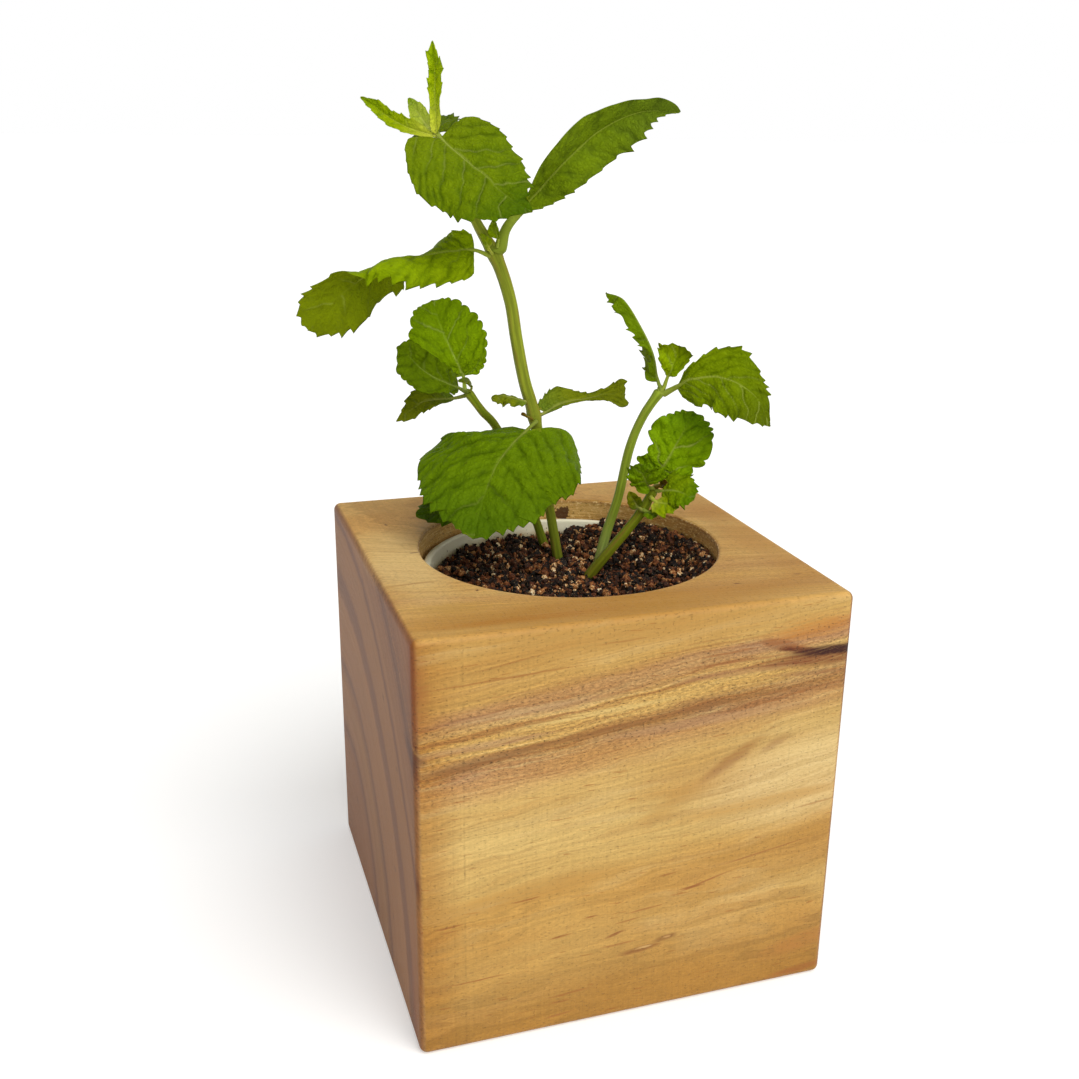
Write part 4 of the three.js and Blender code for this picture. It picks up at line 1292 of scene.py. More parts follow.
@dataclass
class Stem:
    """A square stem with rounded edges along a curve, thicker where leaves leave it."""

    path: list[Point]
    radii: list[float]
    finish: StemFinish
    joints: tuple[float, ...] = ()
    buried: float = 9.0
    sides: int = 32
    step: float = 0.6

    def __post_init__(self) -> None:
        """Adds the buried end, in line with the first stretch."""
        points = np.array(self.path, float)
        down = points[0] - points[1]
        self.points = np.vstack([points[0] + down / np.linalg.norm(down) * self.buried, points])

    def radius(self, places: Array) -> Array:
        """Radius along the stem: straight lines between the given radii, with a bell at each joint.

        Args:
            places: places along the stem, from 0 to 1.

        Returns:
            One radius per place.
        """
        known = [self.radii[0], *self.radii]
        plain = np.interp(places, np.linspace(0, 1, len(known)), known)
        height = catmull_rom(self.points, places)[:, 2]
        for joint in self.joints:
            plain = plain * (1 + 0.2 * np.exp(-(((height - joint) / 1.6) ** 2)))
        return plain

    def nearest(self, point: Array) -> Array:
        """The place on the stem's middle line that is nearest to a point."""
        middle = catmull_rom(self.points, np.linspace(0, 0.995, 400))
        return middle[int(np.linalg.norm(middle - point, axis=1).argmin())]

    def at_height(self, height: float) -> tuple[Array, float]:
        """The stem's middle and radius at a height.

        Args:
            height: the height, in millimetres.

        Returns:
            The point of its middle line and its radius there.
        """
        places = np.linspace(0, 1, 400)
        middle = catmull_rom(self.points, places)
        nearest = int(np.abs(middle[:, 2] - height).argmin())
        return middle[nearest], float(self.radius(places)[nearest])

    def skin(self) -> Skin:
        """Rings whose radius at angle a is the stem's times 1 less a small share of the cosine of 4 a,
        so that the four edges stand out; the tip's last rings close as a dome.

        Returns:
            The stem's skin.
        """
        places = np.linspace(0, 1, 400)
        length = np.linalg.norm(np.diff(catmull_rom(self.points, places), axis=0), axis=1).sum()
        places = np.linspace(0, 1, int(length / self.step))
        middle, along = catmull_rom(self.points, places), directions(self.points, places)
        across = np.cross([0, -1, 0], along)
        across /= np.linalg.norm(across, axis=1)[:, None]
        front = np.cross(along, across)
        angle = circle(self.sides)
        corner = -np.cos(4 * angle)
        furrow = 0.05 * corner + 0.02 * np.cos(8 * angle)
        dome = np.sqrt(np.clip((1 - places) * length, 0.02, 1))
        uneven = 1 + 0.03 * value_noise(places * length / 6, places * 0, 3)
        reach = (self.radius(places) * dome * uneven)[:, None] * (1 + furrow)[None, :]
        foot = smooth((places * length - self.buried + 3) / 22)
        full = np.ones(reach.shape)
        values = {
            "edge": full * (0.5 + 0.5 * corner),
            "foot": full * (1 - foot)[:, None],
            "side_x": full * np.cos(angle),
            "side_y": full * np.sin(angle),
            "along": full * (places * length)[:, None],
        }
        return loft(tube(middle, reach, across, front), values)

    def build(self, name: str) -> None:
        """Builds and dresses the stem of that name."""
        make_piece(f"stem_{name}_fine", self.skin(), self.finish.build(), (f"stem_{name}",))


# ---------------------------------------------------------------------------------------------
# Leaves


class Margin(Enum):
    """The kind of teeth along a leaf's edge."""

    HOOKED = "pointed teeth that lean towards the tip"
    ROUNDED = "round teeth"
    PLAIN = "no teeth"


@dataclass(frozen=True)
class LeafFinish:
    """Leaf tissue: colours of both sides, of the veins and of the tip; the deep colour and the darkening
    along the grooves are painted shade.
    """

    name: str
    slot: str
    upper: Colour
    # deep: painted shade for the grooves between the domes.
    deep: Colour
    under: Colour
    vein: Colour
    tip: Colour
    base: Colour
    veining: float = 0.7
    tipping: float = 0.3
    basing: float = 0.2
    rough: float = 0.5
    glow: float = 0.25
    speck: Colour = (70, 66, 10)
    through: Colour = (190, 215, 0)
    shine: Colour = (225, 255, 110)

    def build(self) -> bpy.types.Material:
        """Makes the material: Principled mixed with a share of Translucent, so that light comes through.

        Returns:
            The material.
        """
        g = Graph.of_material(self.name)
        along, across = g.attribute("along"), g.attribute("across")
        vein, upper, reach, dome = (g.attribute(name) for name in ("vein", "upper", "reach", "dome"))
        flat = g.join(along, across)
        mottle = g.noise(flat, 0.2, 4.0, 0.65)
        fine_net = g.borders(g.join(along + mottle * 1.5, across), 1.1)
        # Painted shade: the grooves between domes take the deep colour, with mottling for the leaf's own
        # tone.
        raised = dome.step(0.1, 0.85) * 0.65 + mottle.step(0.32, 0.68) * 0.35
        colour = g.mix(raised, self.deep, self.upper)
        colour = g.mix(reach.step(0.4, 0.0) * self.basing, colour, self.base)
        colour = g.mix(reach.step(0.5, 1.0) * self.tipping, colour, self.tip)
        # Painted shade along the fine net and in the grooves between domes.
        colour = g.shade(colour, fine_net.step(0.0, 0.22) * 0.12 + 0.92)
        colour = g.shade(colour, dome.step(0.45, 0.0) * -0.24 + 1.03)
        colour = g.mix(vein * self.veining, colour, self.vein)
        below = g.mix(vein * 0.75, self.under, self.vein)
        below = g.shade(below, mottle.step(0.3, 0.7) * 0.2 + 0.88)
        # Painted shade on the underside by the relief of the domes.
        below = g.shade(below, dome.step(0.0, 0.6) * 0.2 + 0.84)
        colour = g.mix(upper.step(0.4, 0.6), below, colour)
        specks = g.noise(flat, 0.9, 1.0).step(0.735, 0.77)
        colour = g.mix(specks * 0.45, colour, self.speck)
        # The tone paints light above one and shade below one over the whole leaf, along with its own shade
        # of green.
        colour = g.shade(colour, g.attribute("tone"))
        height = fine_net.step(0.0, 0.35) + g.noise(flat, 4.0, 2.0) * 0.5
        shader = g.principled(
            Base_Color=colour,
            Roughness=self.rough,
            Normal=g.bump(height, 0.12),
            Specular_IOR_Level=0.16,
            Specular_Tint=linear(self.shine),
        )
        lit = g.value("ShaderNodeBsdfTranslucent", {}, {"Color": g.mix(0.3, colour, self.through)})
        return g.finish(g.value("ShaderNodeMixShader", {}, {0: self.glow, 1: shader, 2: lit}))


@dataclass
class Leaf:
    """One leaf: a stalk that runs on as the midrib, and a thin blade bent across it.

    path runs from the stem to the tip, its second point the foot of the blade. face gives which way the
    upper side looks at even steps along the blade. left and right are five half widths each, which stand at
    even steps of an angle whose cosine runs along the blade. fold and curl are degrees, as left and right
    lists: a half leaves the midrib at angle fold and turns evenly by curl. lobe is how far the halves reach
    back past the foot. stalk is the stalk's radius.

    The edge rises and falls by wave, waves times along the blade. Its teeth are pitch apart and tooth high,
    and it wanders in and out by ragged; smooth_half is the half without teeth, -1 or 1. pairs is the number
    of side veins on a half, lean how far they lean forwards and pale how far out they stay pale. quilt is
    how high the skin stands between veins, and tone makes the whole leaf lighter or darker: partly its own
    shade of green, and partly painted light above one and painted shade below one, for how light falls on
    it.
    """

    stem: str
    path: list[Point]
    face: list[Point]
    left: list[float]
    right: list[float]
    fold: list[list[float]]
    curl: list[list[float]]
    finish: LeafFinish
    lobe: tuple[float, float] = (0.0, 0.0)
    stalk: float = 0.65
    wave: float = 0.3
    waves: float = 3.0
    margin: Margin = Margin.HOOKED
    pitch: float = 3.0
    tooth: float = 0.7
    ragged: float = 0.3
    pairs: float = 5.0
    lean: float = 0.75
    pale: float = 0.35
    smooth_half: int = 0
    quilt: float = 0.4
    # Painted light above one and painted shade below one over the whole leaf, along with its own shade of
    # green.
    tone: float = 1.0
    thickness: float = 0.3
    seed: int = 1

    def __post_init__(self) -> None:
        """Works out the blade's start on the path and its length."""
        self.foot = 1 / (len(self.path) - 1)
        line = catmull_rom(self.path, np.linspace(self.foot, 1, 200))
        self.length = float(np.linalg.norm(np.diff(line, axis=0), axis=1).sum())

    def frame(self, places: Array) -> tuple[Array, Array, Array, Array]:
        """The midrib, and three unit directions: along it, up from the blade and to its right.

        Args:
            places: places along the path, from 0 to 1.

        Returns:
            The points and the three directions, by rows.
        """
        share = np.clip((places - self.foot) / (1 - self.foot), 0, 1)
        middle, along = catmull_rom(self.path, places), directions(self.path, places)
        looks = eased(self.face, share)
        up = looks - np.einsum("ij,ij->i", looks, along)[:, None] * along
        up /= np.linalg.norm(up, axis=1)[:, None]
        return middle, along, up, np.cross(along, up)

    @staticmethod
    def half_width(five: list[float], share: Array) -> Array:
        """Half width at shares of the blade's length, through the five values and nothing at both ends."""
        values = np.array([0, *five, 0], float)[:, None]
        return np.maximum(catmull_rom(values, np.arccos(1 - 2 * share) / math.pi)[:, 0], 0.02)

    def teeth(self, edge: Array, width: Array) -> Array:
        """How far each tooth stands out along an edge, from 0 to 1.

        A hooked tooth rises as a power of the distance along the edge and drops in its last fifth; a
        round one is the root of a half sine.

        Args:
            edge: the plain edge's points.
            width: the half width there.

        Returns:
            One value per point of the edge.
        """
        steps = np.linalg.norm(np.diff(edge, axis=0), axis=1)
        distance = np.concatenate([[0], np.cumsum(steps)])
        uneven = 0.8 * value_noise(distance / (1.9 * self.pitch), distance * 0 + self.seed, self.seed)
        phase = distance / self.pitch + uneven
        part = phase - np.floor(phase)
        if self.margin is Margin.ROUNDED:
            shape = np.sqrt(np.abs(np.sin(math.pi * part)))
        else:
            drop = 0.22
            shape = np.where(part < 1 - drop, (part / (1 - drop)) ** 1.7, (1 - part) / drop)
        size = 0.85 + 0.6 * value_noise(np.floor(phase) * 0.77, phase * 0, self.seed + 9)
        ends = smooth(distance / 3.0) * smooth((distance[-1] - distance) / 2.0)
        return shape * size * ends * np.clip(width / 2.5, 0, 1)

    def to_border(self, u: Array, v: Array, cell: float, side: int) -> Array:
        """Distance to the nearest border between irregular cells.

        Each cell belongs to the nearest of the seeds, which stand on a square grid and are shifted at
        random; the distance is half the gap between the two smallest distances to seeds.

        Args:
            u: first coordinate, in millimetres.
            v: second coordinate, in millimetres.
            cell: distance between seeds.
            side: -1 for the left half, 1 for the right one.

        Returns:
            The distance at each point.
        """
        rng = np.random.default_rng(2 * self.seed + (side > 0))
        first = np.arange(np.floor(u.min() / cell) - 1, np.ceil(u.max() / cell) + 2)
        second = np.arange(-1, np.ceil(v.max() / cell) + 2)
        seeds = np.stack(np.meshgrid(first, second), -1).reshape(-1, 2)
        seeds = (seeds + rng.uniform(-0.36, 0.36, seeds.shape)) * cell
        apart = np.hypot(u[..., None] - seeds[:, 0], v[..., None] - seeds[:, 1])
        nearest = np.partition(apart, 1, axis=-1)
        return (nearest[..., 1] - nearest[..., 0]) / 2

    def veins(self, reach: Array, out: Array, side: int) -> tuple[Array, Array]:
        """Side veins, and the domes between them, their forks and two nets of small veins.

        A side vein is a line of whole count, where the count grows with the place on the midrib at which
        the vein starts; that place is the point's own distance along less a share of its distance out, so
        veins lean forwards. A fork is a line of half count, which starts past half the width. With d the
        distance to the nearest vein over a set width, a dome rises as 1 less the exponential of minus a
        power of d, 1.3 to 1.5. The height adds 0.32 of the domes over all veins with the fine net, 0.3 of
        those over the coarse net and 0.38 of those over side veins and forks.

        Args:
            reach: distance along the midrib, in millimetres.
            out: distance from the midrib, in millimetres.
            side: -1 for the left half, 1 for the right one.

        Returns:
            How near each point is to a pale side vein and the height of the domes, both from 0 to 1.
        """
        broad = max(*self.left, *self.right)
        cell = float(np.clip(self.length * 0.07, 0.9, 2.4))
        spacing = self.length / self.pairs
        sway = value_noise(reach / 3.1 + 20, out / 3.1 + 20, self.seed + 2)
        sway = sway + 0.4 * value_noise(reach / 1.3 + 20, out / 1.3 + 20, self.seed + 3)
        start = reach - self.lean * out - 0.02 * out * out * (20 / max(self.length, 20)) + 0.9 * sway
        count = self.pairs * np.sign(start) * (np.abs(start) / self.length) ** 0.85 + 0.22 * side
        to_side = np.abs(count - np.round(count)) * spacing * 0.8
        fork = np.abs(count - np.floor(count) - 0.5) * spacing * 0.8
        fork = np.maximum(fork + 2.5 * (1 - smooth((out / broad - 0.55) * 4)), 0.02)
        net = self.to_border(start, out, cell, side)
        mesh = self.to_border(reach - 0.5 * out, out, 2.1 * cell, side)
        both = (np.maximum(to_side, 0.02) ** -2 + np.maximum(net, 0.02) ** -2 + fork**-2) ** -0.5
        small = 1 - np.exp(-((both / (0.2 * cell)) ** 1.5))
        middling = 1 - np.exp(-((mesh / (0.28 * cell)) ** 1.4))
        large = 1 - np.exp(-((np.minimum(to_side, fork) / (0.4 * cell)) ** 1.3))
        pale = smooth(0.5 + 1.6 * value_noise(np.round(count) * 1.7 + 0.5, out * 0 + 3 * side, self.seed))
        pale = self.pale * pale * smooth(((0.4 + 0.5 * self.pale) * broad - out) / (0.4 * broad))
        near = np.exp(-((to_side / 0.15) ** 2)) * pale
        return near, 0.32 * small + 0.3 * middling + 0.38 * large

    def half(self, share: Array, side: int, columns: int) -> tuple[Array, dict[str, Array]]:
        """One half of the blade's middle surface, from the midrib out to the edge.

        At share x of the half width w, a section that leaves at angle f and turns by c lies at
        w (sin(f + c x) - sin f) / c outwards and w (cos f - cos(f + c x)) / c upwards.

        Args:
            share: places along the blade, from 0 to 1.
            side: -1 for the left half, 1 for the right one.
            columns: points across.

        Returns:
            Points as rows by columns by three, and values at the points.
        """
        which = 0 if side < 0 else 1
        places = self.foot + share * (1 - self.foot)
        middle, along, up, across = self.frame(places)
        width = self.half_width(self.right if which else self.left, share)
        fold = np.radians(eased(self.fold[which], share))[:, None]
        curl = np.radians(eased(self.curl[which], share))[:, None]
        curl = np.where(np.abs(curl) < 1e-3, 1e-3, curl)
        x = np.linspace(0, 1, columns)[None, :]
        back = self.lobe[which] * ((1 - share) ** 4 * np.minimum(1, share / 0.03))[:, None]
        ripple = self.wave * np.minimum(1, width / 4)[:, None]
        phase = 1.0 if which else 2.5

        def surface(x: Array) -> Array:
            """The half's points at shares x of the half width, which may differ from row to row."""
            out = width[:, None] * (np.sin(fold + curl * x) - np.sin(fold)) / curl
            rise = width[:, None] * (np.cos(fold) - np.cos(fold + curl * x)) / curl
            rise = rise + ripple * x**2 * np.sin(2 * math.pi * self.waves * share[:, None] + phase)
            return (
                middle[:, None]
                + (side * out)[..., None] * across[:, None]
                + rise[..., None] * up[:, None]
                - (back * np.sin(x * math.pi / 2))[..., None] * along[:, None]
            )

        edge, mean = surface(np.ones((1, 1)))[:, 0], 0.4
        if self.margin is not Margin.PLAIN and side != self.smooth_half:
            tooth = self.teeth(edge, width)[:, None]
        else:
            tooth = np.full((len(share), 1), mean)
        ragged = self.ragged * value_noise(share * self.length / 3.4, share * 0 + 7 * which, self.seed + 6)
        slope = np.gradient(width, share * self.length)[:, None]
        outward = 1 / np.sqrt(1 + slope**2)
        growth = self.tooth * (tooth - mean) + ragged[:, None]
        stretched = x * (1 + growth * outward / np.maximum(width, 1.2)[:, None] * x**4)
        forward = -slope * outward * growth * np.minimum(1, width / 1.5)[:, None] * x**5
        if self.margin is Margin.HOOKED:
            forward = forward + 0.8 * self.tooth * tooth * x**7
        points = surface(stretched) + forward[..., None] * along[:, None]
        reach = np.repeat((share * self.length)[:, None], columns, 1) - back * np.sin(x * math.pi / 2)
        out = width[:, None] * x
        near, dome = self.veins(reach, out, side)
        drift = 0.22 * value_noise(share * self.length / 2.4, share * 0, self.seed + 8)[:, None]
        rib_width = (0.27 - 0.17 * share)[:, None]
        rib = np.exp(-(((side * out - drift) / rib_width) ** 2)) * smooth((0.95 - share) * 1.3)[:, None]
        rib = rib * (0.5 + 0.5 * self.pale)
        lumps = value_noise(reach / 1.3 + 9, out / 1.3 + 30 * which, self.seed + 4)
        calm = smooth(out / 1.0) * smooth((1 - x) * 5)
        calm = calm * (smooth(share * 12) * smooth((1 - share) * 9))[:, None]
        relief = self.quilt * calm * (1.6 * dome - 1.0 + 0.2 * lumps) - 0.15 * np.exp(-((out / 0.45) ** 2))
        return points, {
            "along": reach,
            "across": side * out,
            "vein": np.clip(np.maximum(rib, near), 0, 1),
            "dome": dome,
            "relief": relief,
            "out": np.repeat(x, len(share), 0),
        }

    def blade(self) -> Skin:
        """The blade as a closed shell: its middle surface moved both ways along its normals by half a
        thickness that falls with the square of the distance out.

        Returns:
            The shell.
        """
        rows = int(np.clip(self.length * 6.0, 60, 280))
        columns = int(np.clip(max(*self.left, *self.right) * 3.2, 12, 52))
        even = np.linspace(0, 1, rows)
        share = 0.5 * (even + (1 - np.cos(math.pi * even)) / 2)
        (left, left_values), (right, right_values) = (self.half(share, side, columns) for side in (-1, 1))
        middle = np.concatenate([left[:, ::-1], right[:, 1:]], axis=1)
        values = {
            name: np.concatenate([left_values[name][:, ::-1], right_values[name][:, 1:]], axis=1)
            for name in left_values
        }
        lengthwise = np.gradient(middle, axis=0)
        sideways = np.gradient(middle, axis=1)
        normal = np.cross(sideways, lengthwise)
        normal /= np.maximum(np.linalg.norm(normal, axis=2), 1e-9)[..., None]
        ends = smooth(share * 14)[:, None] * smooth((1 - share) * 20)[:, None]
        half_thick = (self.thickness / 2) * (1 - 0.62 * values["out"] ** 2) * (0.3 + 0.7 * ends)
        raised = middle + values["relief"][..., None] * normal
        top = raised + half_thick[..., None] * normal
        under = raised - half_thick[..., None] * normal
        rings = np.concatenate([top, under[:, -2:0:-1]], axis=1)
        count = middle.shape[1]

        def around(grid: Array) -> Array:
            """Values of the top sheet followed by those of the lower one, backwards."""
            return np.concatenate([grid, grid[:, -2:0:-1]], axis=1)

        upper = np.zeros(rings.shape[:2])
        upper[:, :count] = 1.0
        carried = {name: around(values[name]) for name in ("along", "across", "vein", "dome")}
        carried["upper"] = upper
        # The tone carries the leaf's painted light and shade.
        carried["tone"] = np.full(rings.shape[:2], self.tone)
        carried["reach"] = np.repeat(share[:, None], rings.shape[1], 1)
        return loft(rings, carried)

    def midrib(self, stem: Stem) -> Skin:
        """The stalk and midrib: a round tube from inside the stem to the tip, under the blade, whose radius
        falls along it and flares where it leaves the stem.

        Args:
            stem: the stem that carries the leaf.

        Returns:
            The tube.
        """
        sides, last = 14, 0.985
        places = np.linspace(0, last, int(np.clip(self.length * 1.4, 24, 90)))
        share = np.clip((places - self.foot) / (1 - self.foot), 0, 1)
        middle, along, up, across = self.frame(places)
        radius = self.stalk * (0.86 - 0.2 * smooth(places / self.foot)) * (1 - 0.82 * share**0.7)
        sink = radius * 0.75 * smooth(share * 10) + 0.04
        root = np.linspace(0, 1, 6, endpoint=False)
        joined = stem.nearest(middle[0]) * (1 - root)[:, None] + middle[0] * root[:, None]
        middle = np.vstack([joined, middle])
        up, across = (np.vstack([np.repeat(axis[:1], len(root), 0), axis]) for axis in (up, across))
        radius = np.concatenate([radius[0] * (1.5 - 0.5 * root), radius])
        sink = np.concatenate([np.full(len(root), sink[0]), sink])
        share = np.concatenate([np.zeros(len(root)), share])
        full = np.ones((len(radius), sides))
        rings = tube(middle - sink[:, None] * up, full * radius[:, None], across, up)
        values = {
            "along": full * (share * self.length)[:, None],
            "across": full * 0.0,
            "vein": full * 0.75,
            "dome": full * 0.6,
            "upper": full * 0.5,
            # The midrib takes half of the leaf's painted light and shade.
            "tone": full * (0.5 + 0.5 * self.tone),
            "reach": full * share[:, None],
        }
        return loft(rings, values)

    def build(self, name: str, stem: Stem, finishes: dict[str, bpy.types.Material]) -> None:
        """Builds and dresses the leaf.

        Args:
            name: the CAD node that it stands for.
            stem: the stem that carries it.
            finishes: the materials made so far, by name.
        """
        if self.finish.name not in finishes:
            finishes[self.finish.name] = self.finish.build()
        skin = Skin.joined([self.blade(), self.midrib(stem)])
        make_piece(f"{name}_fine", skin, finishes[self.finish.name], (name,))


YOUNG = LeafFinish(
    "leaf_young", "young_leaf", (152, 168, 8), (116, 140, 4), (150, 164, 30), (198, 204, 92),
    (116, 142, 6), (190, 192, 66), 0.6, 0.7, 0.75,
)
PALE = LeafFinish(
    "leaf_pale", "young_leaf", (128, 152, 6), (92, 118, 2), (118, 134, 14), (190, 202, 100),
    (70, 108, 2), (140, 158, 16), 0.6, 0.75, 0.35,
)
LIME = LeafFinish(
    "leaf_lime", "leaf", (126, 148, 4), (96, 118, 0), (98, 110, 4), (172, 184, 80),
    (76, 88, 0), (126, 146, 6), 0.75, 0.8,
)
GREEN = LeafFinish(
    "leaf_green", "leaf", (104, 132, 4), (76, 102, 0), (112, 130, 20), (148, 154, 76),
    (66, 96, 6), (104, 132, 8), 0.7, 0.7, 0.3,
)
MID = LeafFinish(
    "leaf_mid", "leaf", (108, 134, 4), (84, 108, 2), (112, 128, 24), (164, 180, 84),
    (100, 126, 4), (112, 136, 12), 0.75, 0.3, 0.3,
)
GREY = LeafFinish(
    "leaf_grey", "leaf", (112, 134, 12), (88, 108, 14), (116, 132, 36), (154, 168, 64),
    (88, 108, 30), (116, 138, 12), 0.5, 0.6, 0.2,
)
OLIVE = LeafFinish(
    "leaf_olive", "old_leaf", (116, 124, 14), (84, 96, 6), (122, 126, 30), (168, 172, 90),
    (120, 126, 20), (92, 118, 36), 0.75, 0.3, 0.7,
)
BROWN = LeafFinish(
    "leaf_brown", "old_leaf", (120, 98, 14), (80, 54, 10), (112, 92, 22), (150, 126, 50),
    (70, 38, 12), (120, 112, 10), 0.4, 0.7, 0.5,
)

BUD = LeafFinish(
    "leaf_bud", "young_leaf", (170, 182, 66), (140, 158, 40), (162, 174, 70), (206, 210, 130),
    (110, 138, 8), (200, 200, 110), 0.5, 0.85, 0.6,
)

TALL_STEM = StemFinish("stem_tall_tissue", (130, 141, 38), (128, 104, 48), (90, 102, 22), 0.45)
BACK_STEM = StemFinish("stem_back_tissue", (120, 136, 26), (124, 104, 46), (108, 120, 30))
RIGHT_STEM = StemFinish("stem_right_tissue", (136, 156, 44), (134, 116, 62), (152, 170, 92), 0.4)
SHORT_STEM = StemFinish("stem_short_tissue", (112, 124, 18), (110, 82, 34), (98, 100, 20))

# Both halves of a blade flat, and what small leaves and the tiniest ones share.
FLAT = [[0], [0]]
SMALL = {"stalk": 0.6, "pitch": 2.2, "tooth": 0.7, "pairs": 4.0}
TINY = {"stalk": 0.4, "wave": 0.1, "pairs": 3.0}

# The stems by the second word of the CAD node that each stands for, from the soil up.
STEMS: dict[str, Stem] = {
    "tall": Stem(
        [(2, 13.5, 91), (0.5, 14.5, 101), (-2, 15.5, 116.5), (-4, 16, 128.5), (-6.5, 16.5, 137.5),
         (-8.5, 16.5, 147.5), (-10, 17, 157), (-13, 18, 166.5), (-18, 18.5, 175.5), (-23, 19, 186.5),
         (-26.5, 19.5, 194.5)],
        [1.3, 1.25, 1.35, 1.6, 1.6, 1.55, 1.55, 1.65, 1.25, 1.1, 1.0], TALL_STEM, (128.5, 168),
    ),
    "back": Stem(
        [(2, 22, 89), (-0.5, 23.5, 97.5), (-4.5, 24.5, 109.5), (-10.5, 26.5, 123), (-14.5, 27, 128),
         (-18, 28, 133)],
        [1.2, 1.15, 1.15, 1.15, 1.1, 1.05], BACK_STEM, (105, 132),
    ),
    "right": Stem(
        [(10, 5, 92), (12, 5.5, 99.5), (15, 5.5, 109), (17.5, 5.5, 121), (20.5, 5, 129), (24.5, 3.5, 136)],
        [1.3, 1.22, 1.15, 1.12, 1.05, 1.15], RIGHT_STEM, (135.5,),
    ),
    "short": Stem(
        [(5, -1, 91), (9, -1.5, 96), (14, -1.5, 101.5), (18.5, -1, 106.5), (22, -1, 112.5)],
        [1.3, 1.25, 1.2, 1.15, 1.0], SHORT_STEM, (107.3, 112),
    ),
}
